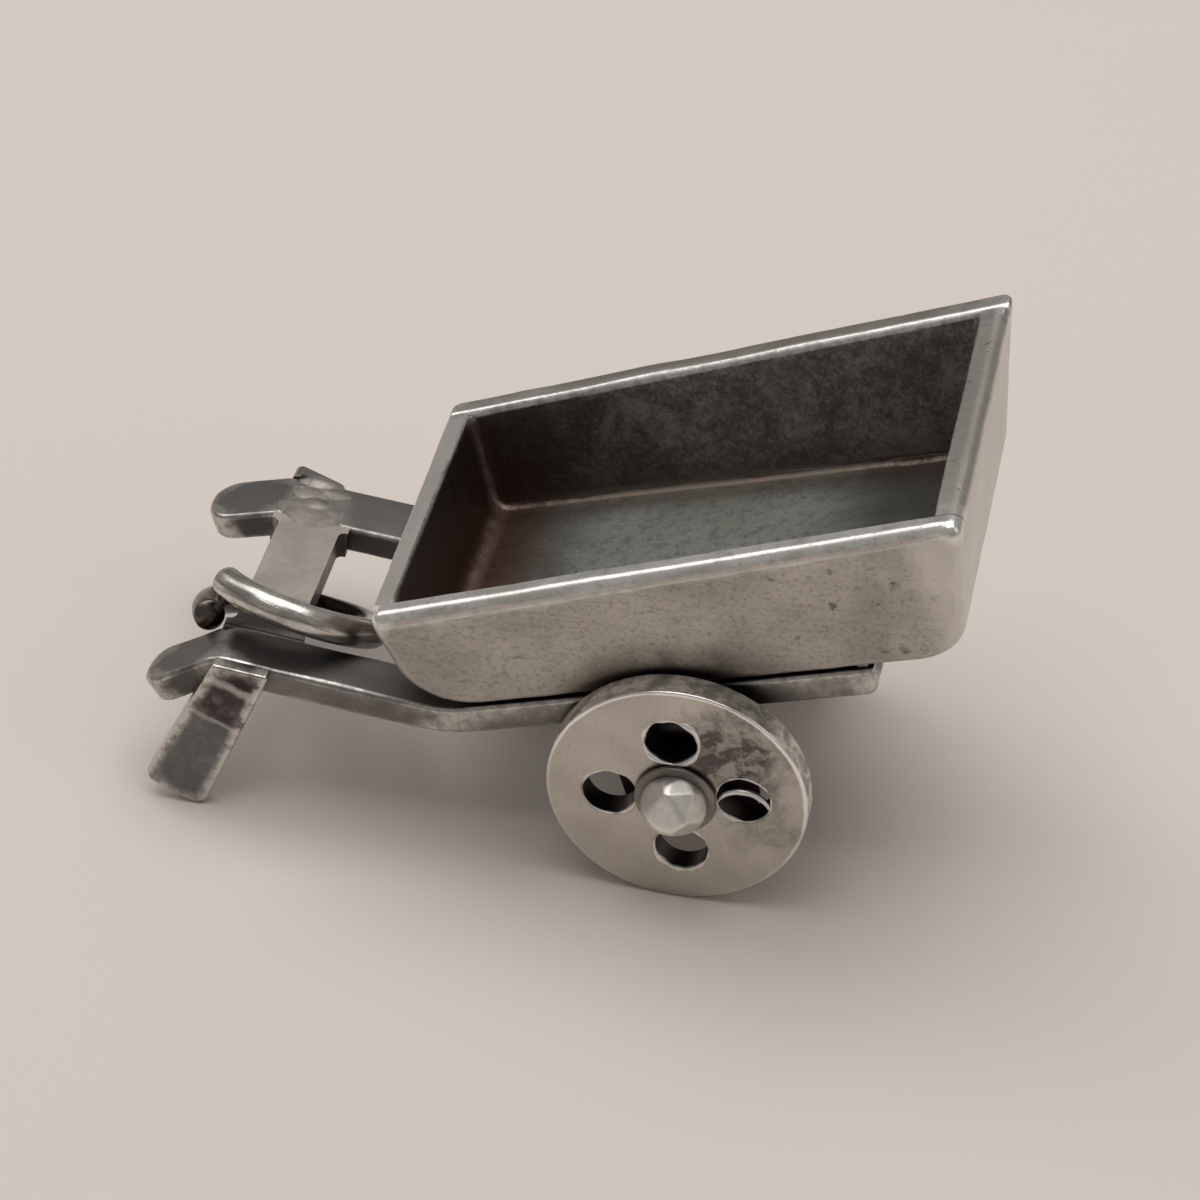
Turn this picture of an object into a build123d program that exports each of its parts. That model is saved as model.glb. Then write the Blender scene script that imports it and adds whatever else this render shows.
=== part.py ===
from build123d import *

import math
import os

# Hand cart charm in sheet silver: a soldered tub on two bent shafts, riveted wheels and a loose jump ring.
# Every piece is drawn in the chassis frame: the axle's middle is the origin, +X runs from the handles
# to the tail, +Y is the cart's left and the tub's floor is level. The finished cart is then tipped
# back on its legs, so that the wheels and the legs' tips stand on one floor. All sizes are millimetres
# and degrees.

# Wheels
wheel_diameter = 7.5
wheel_thickness = 0.85
wheel_edge_rounding = 0.07
wheel_hole_diameter = 1.55
wheel_hole_circle = 3.85
wheel_hole_count = 4
wheel_hole_edge_break = 0.05
right_wheel_turn = -11.0
left_wheel_turn = 24.0

# Axle, its heads and the washers under them
axle_diameter = 1.1
axle_head_diameter = 1.92
axle_head_lift = 0.15
hub_washer_diameter = 2.35
hub_washer_thickness = 0.15
hub_washer_rounding = 0.05
running_clearance = 0.04
wheel_side_play = 0.05
wheel_clearance = 0.11

# Bracket that carries the axle
bracket_span = 8.6
bracket_length = 3.95
bracket_sheet = 0.6
bracket_bend = 0.8
bracket_drop = 1.9
bracket_corner = 0.95

# Shafts with their handles
shaft_sheet = 0.9
shaft_width = 1.62
left_shaft_extra = 0.28
shaft_gauge = 8.68
shaft_tail = 6.25
shaft_rise_start = -6.43
shaft_rise = 2.71
shaft_slope = 23.5
shaft_lower_bend = 3.0
shaft_upper_bend = 1.2
right_handle_length = 2.75
right_handle_droop = 15.0
left_handle_length = 2.48
left_handle_droop = -2.0
handle_tip_flat = 0.18
shaft_edge_break = 0.16
shaft_tail_rounding = 0.4

# Cross-bar between the shafts
cross_bar_width = 1.85
cross_bar_setback = 0.12
cross_bar_flare = 0.25
cross_bar_feather = 0.02
cross_bar_solder_dip = 0.02

# Legs
leg_width = 1.58
leg_tip_width = 2.0
leg_tip_rounding = 0.42
leg_sheet = 0.42
leg_length = 5.1
leg_kink = 2.1
leg_kink_bend = 1.2
leg_splay = 7.0
leg_edge_break = 0.08
right_leg_angle = 42.0
right_leg_setback = 0.9
right_leg_rise = 0.05
right_leg_top_rounding = 0.1
left_leg_angle = 31.0
left_leg_setback = 0.77
left_leg_rise = -0.02
left_leg_top_slope = 40.0
left_leg_top_rounding = 0.22

# Tub, soldered on at a small height above the shafts
tub_bottom = 3.0
tub_seat = 0.16
tub_seat_inset = 0.5
tub_seat_end = 0.3
tub_front = -7.12
tub_floor_length = 16.05
tub_floor_width = 8.88
tub_front_height = 3.96
tub_tail_height = 5.18
tub_front_lean = 1.5
tub_tail_lean = 13.0
tub_side_lean = 13.3
tub_sheet = 0.66
tub_tail_sheet = 0.82
tub_side_sheet = 0.7
tub_floor_sheet = 0.95
tub_front_bend = 2.0
tub_tail_bend = 1.7
tub_front_inner_bend = 0.6
tub_tail_inner_bend = 0.9
tub_edge_rounding = 0.3
tub_rim_rounding = 0.12
tub_tail_rim_rounding = 0.34
tub_right_rim_rounding = 0.36
tub_left_rim_rounding = 0.1
tub_left_inner_rim_rounding = 0.26
tub_solder_fillet = 0.2

# Jump ring
ring_wire = 0.92
ring_mean_radius = 2.42
ring_offset = 1.17
ring_turn = 346.0
ring_end_dome = 0.2
ring_start = 132.6
ring_lean = 60.0
ring_yaw = -8.0
ring_along_slope = 0.49
ring_across = -1.22
ring_above = 0.12

# Limits for picking faces by direction and edges by size
facing = 0.7
same_size = 0.001

# Planes that the pieces share
shaft_top = tub_bottom - tub_seat
side_view = Plane(origin=(0, 0, 0), x_dir=(1, 0, 0), z_dir=(0, -1, 0))
slope_angle = math.radians(shaft_slope)
slope_down = Vector(math.cos(slope_angle), 0, -math.sin(slope_angle))
slope_up = Vector(math.sin(slope_angle), 0, math.cos(slope_angle))
handle_corner = Vector(shaft_rise_start - shaft_rise / math.tan(slope_angle), 0, shaft_top + shaft_rise)
slope_plane = Plane(origin=handle_corner, x_dir=slope_down, z_dir=slope_up)

# Tub planes
tub_tail = tub_front + tub_floor_length
rim_front = Vector(
    tub_front - tub_front_height * math.tan(math.radians(tub_front_lean)), 0, tub_bottom + tub_front_height
)
rim_tail = Vector(
    tub_tail + tub_tail_height * math.tan(math.radians(tub_tail_lean)), 0, tub_bottom + tub_tail_height
)
rim_run = rim_tail - rim_front
rim_plane = Plane(origin=rim_front, x_dir=rim_run, z_dir=Vector(-rim_run.Z, 0, rim_run.X))
side_lean = math.radians(tub_side_lean)
right_side_outer = Plane(
    origin=(0, -tub_floor_width / 2, tub_bottom),
    x_dir=(1, 0, 0),
    z_dir=(0, -math.cos(side_lean), -math.sin(side_lean)),
)
right_side_inner = right_side_outer.offset(-tub_side_sheet)
left_side_inner = Plane(
    origin=(right_side_inner.origin.X, -right_side_inner.origin.Y, right_side_inner.origin.Z),
    x_dir=(1, 0, 0),
    z_dir=(0, math.cos(side_lean), -math.sin(side_lean)),
)
tub_half_reach = tub_floor_width / 2 + max(tub_front_height, tub_tail_height)


def tub_outline(front_inset, tail_inset, floor_inset, bends):
    """Side outline of the tub, set in from its walls and its floor, bent at front and tail, past the rim."""
    over_rim = abs(tub_tail_height - tub_front_height) + tub_sheet
    floor_z = tub_bottom + floor_inset

    def wall(foot, lean, height, inset, outward):
        lean = math.radians(lean)
        shift = -outward * inset / math.cos(lean)
        low = (foot + outward * floor_inset * math.tan(lean) + shift, floor_z)
        top_height = height + over_rim
        high = (foot + outward * top_height * math.tan(lean) + shift, tub_bottom + top_height)
        return low, high

    front_low, front_high = wall(tub_front, tub_front_lean, tub_front_height, front_inset, -1)
    tail_low, tail_high = wall(tub_tail, tub_tail_lean, tub_tail_height, tail_inset, 1)
    with BuildSketch(side_view) as outline:
        with BuildLine():
            FilletPolyline(
                front_high,
                front_low,
                tail_low,
                tail_high,
                radius=bends,
            )
            Line(tail_high, front_high)
        make_face()
    return outline.sketch


outer_outline = tub_outline(0, 0, 0, [tub_front_bend, tub_tail_bend])
inner_bends = [tub_front_inner_bend, tub_tail_inner_bend]
inner_outline = tub_outline(tub_sheet, tub_tail_sheet, tub_floor_sheet, inner_bends)

with BuildPart() as tub_hollow:
    extrude(inner_outline, amount=tub_half_reach, both=True)
    split(bisect_by=rim_plane, keep=Keep.BOTTOM)
    split(bisect_by=right_side_inner, keep=Keep.BOTTOM)
    split(bisect_by=left_side_inner, keep=Keep.BOTTOM)

# Solder in the inside corners of the two side seams, up to where the rim is rounded
with BuildPart() as seam_core:
    add(tub_hollow.part)
    side_faces = seam_core.faces().filter_by(lambda face: abs(face.normal_at().Y) > facing)
    seam_edges = side_faces.edges().filter_by(lambda edge: not rim_plane.contains(edge.center()))
    fillet(seam_edges, tub_solder_fillet)

with BuildPart() as seam_solder:
    add(tub_hollow.part)
    add(seam_core.part, mode=Mode.SUBTRACT)
    split(bisect_by=rim_plane.offset(-tub_rim_rounding), keep=Keep.BOTTOM)

# Trough: front, floor and tail of the tub bent from one strip, with the seams' solder on it
with BuildPart() as tub_trough:
    extrude(outer_outline, amount=tub_half_reach, both=True)
    extrude(inner_outline, amount=tub_half_reach, both=True, mode=Mode.SUBTRACT)
    split(bisect_by=rim_plane, keep=Keep.BOTTOM)
    split(bisect_by=right_side_inner, keep=Keep.BOTTOM)
    split(bisect_by=left_side_inner, keep=Keep.BOTTOM)
    rim_faces = tub_trough.faces().filter_by(lambda face: rim_plane.contains(face.center()))
    rim_edges = rim_faces.edges().filter_by(Axis.Y).sort_by(Axis.X)
    fillet(rim_edges[:-1], tub_rim_rounding)
    fillet(rim_edges[-1], tub_tail_rim_rounding)
    add(seam_solder.part)


def make_tub_side(outer_rim_rounding, inner_rim_rounding=0):
    """A side plate on the tub's right, rounded along its outer edges and, if asked for, the rim inside."""
    with BuildPart() as tub_side:
        extrude(outer_outline, amount=tub_half_reach, both=True)
        split(bisect_by=rim_plane, keep=Keep.BOTTOM)
        split(bisect_by=right_side_inner, keep=Keep.TOP)
        split(bisect_by=right_side_outer, keep=Keep.BOTTOM)
        outward = Axis(right_side_outer.origin, right_side_outer.z_dir)
        if inner_rim_rounding:
            rim_face = tub_side.faces().filter_by(lambda face: rim_plane.contains(face.center()))
            fillet(rim_face.edges().sort_by(outward)[0], inner_rim_rounding)
        outer_edges = tub_side.faces().sort_by(outward)[-1].edges()
        fillet(outer_edges.filter_by(lambda edge: not rim_plane.contains(edge.center())), tub_edge_rounding)
        rim_face = tub_side.faces().filter_by(lambda face: rim_plane.contains(face.center()))
        fillet(rim_face.edges().sort_by(outward)[-1], outer_rim_rounding)
    return tub_side


right_tub_side = make_tub_side(tub_right_rim_rounding)
with BuildPart() as left_tub_side:
    mirror(make_tub_side(tub_left_rim_rounding, tub_left_inner_rim_rounding).part, about=Plane.XZ)

# Shafts: a bent strip on each side with a level run, a slope and a handle. Solder on the level run carries
# the tub, set in from the outer edge as a bed and running out to it only at the tail.
shaft_inner_edge = shaft_gauge / 2 - shaft_width
right_side = side_view
left_side = Plane(origin=(0, 0, 0), x_dir=(1, 0, 0), z_dir=(0, 1, 0))


def make_shaft(plane, width, handle_length, handle_droop):
    """The shaft on the plane's side, whose handle falls by the droop."""
    handle_fall = math.radians(handle_droop)
    handle_tip = handle_corner + Vector(-math.cos(handle_fall), 0, -math.sin(handle_fall)) * handle_length
    bends = [
        Vector(shaft_tail, 0, shaft_top),
        Vector(shaft_rise_start, 0, shaft_top),
        handle_corner,
        handle_tip,
    ]
    with BuildPart() as shaft:
        with BuildSketch(plane.offset(shaft_inner_edge)):
            with BuildLine():
                flat_bends = [plane.to_local_coords(bend) for bend in bends]
                top_line = FilletPolyline(
                    *[(bend.X, bend.Y) for bend in flat_bends], radius=[shaft_lower_bend, shaft_upper_bend]
                )
                lower_side = Side.LEFT if plane is right_side else Side.RIGHT
                offset(top_line, amount=shaft_sheet, side=lower_side)
            make_face()
        extrude(amount=width)
        tip_edges = shaft.faces().sort_by(Axis.X)[0].edges().filter_by(Axis.Y, reverse=True)
        fillet(tip_edges, (width - handle_tip_flat) / 2)
        tail_edges = shaft.faces().sort_by(Axis.X)[-1].edges().filter_by(Axis.Y)
        fillet(tail_edges.sort_by(Axis.Z)[0], shaft_tail_rounding)
        flats = shaft.faces().filter_by(lambda face: abs(face.normal_at().Z) > facing)
        fillet(flats.edges().filter_by(Axis.Y, reverse=True), shaft_edge_break)
        with BuildSketch(Plane.XY.offset(shaft_top)):
            bed_start = tub_front + tub_front_bend
            bed_end = shaft_tail - shaft_edge_break
            bed_edge = shaft_inner_edge + shaft_edge_break
            bed_width = width - shaft_edge_break - tub_seat_inset
            post_width = width - 2 * shaft_edge_break
            with Locations(((bed_start + bed_end) / 2, plane.z_dir.Y * (bed_edge + bed_width / 2))):
                Rectangle(bed_end - bed_start, bed_width)
            with Locations((bed_end - tub_seat_end / 2, plane.z_dir.Y * (bed_edge + post_width / 2))):
                Rectangle(tub_seat_end, post_width)
        extrude(amount=tub_seat)
    return shaft


right_shaft = make_shaft(right_side, shaft_width, right_handle_length, right_handle_droop)
left_shaft = make_shaft(left_side, shaft_width + left_shaft_extra, left_handle_length, left_handle_droop)

# Cross-bar, flush with the slope of both shafts, flared where the solder runs into the corners and with
# solder over the shafts' rounded edges
cross_bar_plane = Plane(
    origin=slope_plane.from_local_coords((cross_bar_setback + cross_bar_width / 2, 0, 0)),
    x_dir=slope_down,
    z_dir=slope_up,
)
with BuildPart() as cross_bar:
    with BuildSketch(cross_bar_plane) as bar_outline:
        Rectangle(cross_bar_width, 2 * shaft_inner_edge)
        with GridLocations(0, 2 * shaft_inner_edge - cross_bar_flare, 1, 2):
            Rectangle(cross_bar_width + 2 * cross_bar_flare, cross_bar_flare)
        waist = bar_outline.vertices().filter_by(
            lambda corner: abs(abs(corner.X) - cross_bar_width / 2) < same_size
        )
        fillet(waist, cross_bar_flare - cross_bar_feather)
    extrude(amount=-shaft_sheet)
    with BuildSketch(cross_bar_plane.offset(-cross_bar_solder_dip)):
        with GridLocations(0, 2 * shaft_inner_edge + shaft_edge_break, 1, 2):
            Rectangle(cross_bar_width + 2 * cross_bar_flare, shaft_edge_break)
    extrude(amount=-shaft_edge_break)
    add(right_shaft.part, mode=Mode.SUBTRACT)
    add(left_shaft.part, mode=Mode.SUBTRACT)

# Stance: the pitch that puts the wheels and the right leg's tip on one floor
leg_spread = math.radians(leg_splay)
leg_taper = math.atan((leg_tip_width - leg_width) / 2 / leg_length)
tip_half_flat = leg_tip_width / 2 - leg_tip_rounding * (math.tan(leg_taper) + 1 / math.cos(leg_taper))


def leg_directions(angle):
    """The directions down a leg and across it to the tail, for its angle to the upright."""
    slant = math.radians(angle)
    return Vector(-math.sin(slant), 0, -math.cos(slant)), Vector(math.cos(slant), 0, -math.sin(slant))


right_leg_down, right_leg_across = leg_directions(right_leg_angle)
left_leg_down, left_leg_across = leg_directions(left_leg_angle)
right_leg_root = slope_plane.from_local_coords(Vector(right_leg_setback, 0, 0))
left_leg_root = slope_plane.from_local_coords(Vector(left_leg_setback, 0, 0))
tip_reach = leg_kink + (leg_length - leg_kink - leg_tip_rounding) * math.cos(leg_spread)
tip_centre = right_leg_root + right_leg_down * tip_reach + right_leg_across * tip_half_flat
tip_distance = math.hypot(tip_centre.X, tip_centre.Z)
pitch = math.degrees(
    math.atan2(tip_centre.X, tip_centre.Z) + math.acos((leg_tip_rounding - wheel_diameter / 2) / tip_distance)
)

# The left leg is as long as it has to be to reach the same floor at its own angle
floor_up = Vector(math.sin(math.radians(pitch)), 0, math.cos(math.radians(pitch)))
tip_height = leg_tip_rounding + tip_half_flat * abs(left_leg_across.dot(floor_up))
left_tip_reach = (tip_height - wheel_diameter / 2 - left_leg_root.dot(floor_up)) / left_leg_down.dot(floor_up)
left_leg_length = leg_kink + leg_tip_rounding + (left_tip_reach - leg_kink) / math.cos(leg_spread)

# Legs: a strip soldered to the outer edge of each shaft, splayed below a kink and blunt at the tip


def make_leg(seat, angle, length, setback, rise, top_slope, top_rounding):
    """The leg on the shaft's outer edge that the seat reaches to, cut off above at the top's slope."""
    down, across = leg_directions(angle)
    root = slope_plane.from_local_coords(Vector(setback, 0, 0)) + seat
    outward = seat.normalized()
    lower = length - leg_kink
    top_lean = math.radians(top_slope)
    top = Plane(origin=root + slope_up * rise, z_dir=(math.sin(top_lean), 0, math.cos(top_lean)))
    with BuildPart() as leg:
        with BuildSketch(Plane(origin=root, x_dir=down, z_dir=down.cross(outward))):
            with BuildLine():
                inside = FilletPolyline(
                    (-leg_width, 0),
                    (leg_kink, 0),
                    (leg_kink + lower * math.cos(leg_spread), lower * math.sin(leg_spread)),
                    radius=leg_kink_bend,
                )
                offset(inside, amount=leg_sheet, side=Side.LEFT)
            make_face()
        extrude(amount=leg_tip_width, both=True)
        for edge_side in (across, -across):
            slanted = edge_side * math.cos(leg_taper) - down * math.sin(leg_taper)
            split(bisect_by=Plane(origin=root + edge_side * (leg_width / 2), z_dir=slanted), keep=Keep.BOTTOM)
        split(bisect_by=top, keep=Keep.BOTTOM)
        thickness_edges = leg.faces().sort_by(Axis(root, down))[-1].edges()
        tip_corners = thickness_edges.filter_by(lambda edge: abs(edge.length - leg_sheet) < same_size)
        fillet(tip_corners, leg_tip_rounding)
        top_edges = leg.faces().sort_by(Axis(root, top.z_dir))[-1].edges().filter_by(Axis.Y)
        fillet(top_edges, top_rounding)
        shown = leg.faces().filter_by(lambda face: face.normal_at().dot(outward) > facing)
        fillet(shown.edges().filter_by(Axis(root, across), reverse=True), leg_edge_break)
    return leg


right_leg = make_leg(
    Vector(0, -shaft_gauge / 2, 0),
    right_leg_angle,
    leg_length,
    right_leg_setback,
    right_leg_rise,
    shaft_slope,
    right_leg_top_rounding,
)
left_leg = make_leg(
    Vector(0, shaft_gauge / 2 + left_shaft_extra, 0),
    left_leg_angle,
    left_leg_length,
    left_leg_setback,
    left_leg_rise,
    left_leg_top_slope,
    left_leg_top_rounding,
)

# Axle bracket: a strip bent into a staple under both shafts, with an ear for each end of the axle
bracket_top = shaft_top - shaft_sheet
with BuildPart() as axle_bracket:
    with BuildSketch(Plane.YZ):
        with BuildLine():
            staple = FilletPolyline(
                (-bracket_span / 2, -bracket_drop),
                (-bracket_span / 2, bracket_top),
                (bracket_span / 2, bracket_top),
                (bracket_span / 2, -bracket_drop),
                radius=bracket_bend,
            )
            offset(staple, amount=bracket_sheet, side=Side.RIGHT)
        make_face()
    extrude(amount=bracket_length / 2, both=True)
    ear_corners = axle_bracket.edges().filter_by(Axis.Y).group_by(Axis.Z)[0]
    fillet(ear_corners, bracket_corner)
    with BuildSketch(Plane.XZ):
        Circle(axle_diameter / 2)
    extrude(amount=bracket_span, both=True, mode=Mode.SUBTRACT)

# Stations along the axle: the wheels clear the bracket, the shafts and the tub's leaning sides
shaft_beside_wheel = shaft_gauge / 2 + left_shaft_extra
tub_beside_wheel = tub_floor_width / 2 + (wheel_diameter / 2 - tub_bottom) * math.tan(side_lean)
wheel_inner = max(bracket_span / 2, shaft_beside_wheel, tub_beside_wheel) + wheel_clearance
wheel_outer = wheel_inner + wheel_thickness
washer_inner = wheel_outer + wheel_side_play
washer_outer = washer_inner + hub_washer_thickness

with BuildPart() as axle:
    with BuildSketch(Plane.XZ):
        Circle(axle_diameter / 2)
    extrude(amount=washer_outer, both=True)
    head_radius = axle_head_diameter / 2
    head_top = washer_outer + axle_head_lift + head_radius
    head_foot = math.sqrt(head_radius**2 - axle_head_lift**2)
    for side in (-1, 1):
        with BuildSketch(Plane.YZ):
            with BuildLine():
                RadiusArc((side * washer_outer, head_foot), (side * head_top, 0), side * head_radius)
                Line((side * head_top, 0), (side * washer_outer, 0))
                Line((side * washer_outer, 0), (side * washer_outer, head_foot))
            make_face()
        revolve(axis=Axis.Y)


def make_washer(plane):
    """The washer under an axle head, closed tight on the axle, growing along the plane's normal."""
    with BuildPart() as washer:
        with BuildSketch(plane.offset(washer_inner)):
            Circle(hub_washer_diameter / 2)
            Circle(axle_diameter / 2, mode=Mode.SUBTRACT)
        extrude(amount=hub_washer_thickness)
        outer_rim = washer.edges().filter_by(GeomType.CIRCLE).sort_by(SortBy.RADIUS)[-2:]
        fillet(outer_rim, hub_washer_rounding)
    return washer


def make_wheel(plane, turn):
    """A plain disc wheel with a ring of round holes, turned on the axle, growing along the plane's normal."""
    with BuildPart() as wheel:
        with BuildSketch(plane.offset(wheel_inner)):
            Circle(wheel_diameter / 2)
            Circle(axle_diameter / 2 + running_clearance, mode=Mode.SUBTRACT)
        extrude(amount=wheel_thickness)
        fillet(wheel.edges().filter_by(GeomType.CIRCLE).sort_by(SortBy.RADIUS)[-2:], wheel_edge_rounding)
        with BuildSketch(plane.offset(wheel_inner)):
            with PolarLocations(wheel_hole_circle / 2, wheel_hole_count, start_angle=turn):
                Circle(wheel_hole_diameter / 2)
        extrude(amount=wheel_thickness, mode=Mode.SUBTRACT)
        rounds = wheel.edges().filter_by(GeomType.CIRCLE)
        mouths = rounds.filter_by(lambda edge: abs(edge.radius - wheel_hole_diameter / 2) < same_size)
        chamfer(mouths, wheel_hole_edge_break)
    return wheel


right_wheel = make_wheel(right_side, right_wheel_turn)
left_wheel = make_wheel(left_side, left_wheel_turn)
right_washer = make_washer(right_side)
left_washer = make_washer(left_side)

# Jump ring: one open turn of round wire with domed ends, sprung sideways, lying over the cross-bar
ring_centre = cross_bar_plane.from_local_coords(
    Vector(ring_along_slope, ring_across, ring_above - shaft_sheet / 2)
)
yaw = math.radians(ring_yaw)
lean = math.radians(ring_lean)
ring_along = slope_down * math.cos(yaw) + Vector(0, 1, 0) * math.sin(yaw)
ring_level = Vector(0, 1, 0) * math.cos(yaw) - slope_down * math.sin(yaw)
ring_over = slope_up * math.cos(lean) - ring_level * math.sin(lean)
ring_axis = ring_along.cross(ring_over)
first_end = math.radians(ring_start)
ring_plane = Plane(
    origin=ring_centre - ring_axis * (ring_offset / 2),
    x_dir=ring_along * math.cos(first_end) + ring_over * math.sin(first_end),
    z_dir=ring_axis,
)
dome_radius = ((ring_wire / 2) ** 2 + ring_end_dome**2) / (2 * ring_end_dome)
with BuildPart() as jump_ring:
    with BuildLine():
        turn = Helix(ring_offset * 360 / ring_turn, ring_offset, ring_mean_radius, lefthand=True)
    with BuildSketch(Plane(origin=turn @ 0, z_dir=turn % 0)):
        Circle(ring_wire / 2)
    sweep(is_frenet=True)
    for end, outward in ((turn @ 0, turn % 0 * -1), (turn @ 1, turn % 1)):
        across = outward.cross(Vector(0, 0, 1))
        with BuildSketch(Plane(origin=end, x_dir=across, z_dir=across.cross(outward))):
            with BuildLine():
                RadiusArc((0, ring_end_dome), (ring_wire / 2, 0), dome_radius)
                Line((0, ring_end_dome), (0, 0))
                Line((0, 0), (ring_wire / 2, 0))
            make_face()
        revolve(axis=Axis(end, outward))
jump_ring.part = jump_ring.part.moved(ring_plane.location)

pieces = {
    "tub_trough": tub_trough,
    "right_tub_side": right_tub_side,
    "left_tub_side": left_tub_side,
    "right_shaft": right_shaft,
    "left_shaft": left_shaft,
    "cross_bar": cross_bar,
    "right_leg": right_leg,
    "left_leg": left_leg,
    "axle_bracket": axle_bracket,
    "axle": axle,
    "right_hub_washer": right_washer,
    "left_hub_washer": left_washer,
    "right_wheel": right_wheel,
    "left_wheel": left_wheel,
    "jump_ring": jump_ring,
}
tipped = [piece.part.moved(Rot(0, -pitch, 0)).bounding_box() for piece in pieces.values()]
x_low = min(box.min.X for box in tipped)
x_high = max(box.max.X for box in tipped)
z_low = min(box.min.Z for box in tipped)
stance = Pos(-(x_low + x_high) / 2, 0, -z_low) * Rot(0, -pitch, 0)

os.makedirs("parts", exist_ok=True)
for label, piece in pieces.items():
    piece.part = piece.part.moved(stance)
    piece.part.label = label
    export_step(piece.part, f"parts/{label}.step")
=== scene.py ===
import logging
import math
from contextlib import contextmanager
from dataclasses import dataclass, replace
from enum import Enum
from typing import Callable, Iterator, Optional, Sequence, Union

import bpy
from mathutils import Matrix, Vector


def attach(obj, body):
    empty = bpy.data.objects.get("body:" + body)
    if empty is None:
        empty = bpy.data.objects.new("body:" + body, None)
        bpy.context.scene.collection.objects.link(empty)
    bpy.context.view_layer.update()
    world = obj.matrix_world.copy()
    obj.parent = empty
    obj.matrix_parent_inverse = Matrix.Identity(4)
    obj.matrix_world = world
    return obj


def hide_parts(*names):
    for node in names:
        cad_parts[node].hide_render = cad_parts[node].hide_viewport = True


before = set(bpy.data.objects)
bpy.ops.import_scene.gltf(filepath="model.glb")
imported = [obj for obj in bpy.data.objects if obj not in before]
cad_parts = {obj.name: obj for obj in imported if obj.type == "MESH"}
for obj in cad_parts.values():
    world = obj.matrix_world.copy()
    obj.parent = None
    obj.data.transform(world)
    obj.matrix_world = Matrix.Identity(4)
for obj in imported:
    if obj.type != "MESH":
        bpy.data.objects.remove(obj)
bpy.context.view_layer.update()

# The hand cart charm in toned silver: worked sheet, drawn wire and hammered rivets on a pale table top.

LOG = logging.getLogger("hand_cart")
MM = 0.001
MICRON = 0.000001
LEFTWARD = Vector((0.0, 1.0, 0.0))
ACROSS = (math.pi / 2, 0.0, 0.0)

Rgb = tuple[float, float, float]
Triple = tuple[float, float, float]
Pair = tuple[float, float]
Piece = bpy.types.Object
Material = bpy.types.Material
Value = Union["Field", float]
Colour = Union["Field", Rgb]


class Side(Enum):
    """A side of the cart, with the sign of its Y."""

    RIGHT = -1
    LEFT = 1

    @property
    def word(self) -> str:
        """The side's name as the pieces spell it."""
        return self.name.lower()


class Shading(Enum):
    """How a piece's faces meet, as the widest angle that is still smooth, in degrees."""

    SHEET = 42.0
    ROUND = 75.0


@dataclass(frozen=True)
class Stance:
    """How the cart's own frame, with the axle at its origin and a level tub floor, stands on the table."""

    pitch: float = 18.493635
    axle_x: float = 4.356315
    axle_z: float = 3.75
    slope: float = 23.5

    def direction(self, x: float, y: float, z: float) -> Vector:
        """A direction of the cart's frame on the table.

        Args:
            x: Towards the tail.
            y: Towards the cart's left.
            z: Away from the tub's floor.

        Returns:
            The direction in the row frame.
        """
        tilt = math.radians(self.pitch)
        return Vector((x * math.cos(tilt) - z * math.sin(tilt), y, x * math.sin(tilt) + z * math.cos(tilt)))

    def point(self, x: float, y: float, z: float) -> Vector:
        """A point of the cart's frame, in millimetres, as a point of the row frame in metres."""
        return (self.direction(x, y, z) + Vector((self.axle_x, 0.0, self.axle_z))) * MM

    def along_slope(self) -> Vector:
        """The direction in which the shafts' slope runs, towards the tail."""
        fall = math.radians(self.slope)
        return self.direction(math.cos(fall), 0, -math.sin(fall))

    def off_slope(self) -> Vector:
        """The direction straight away from the shafts' slope, upward."""
        fall = math.radians(self.slope)
        return self.direction(math.sin(fall), 0, math.cos(fall))


STANCE = Stance()


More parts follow.
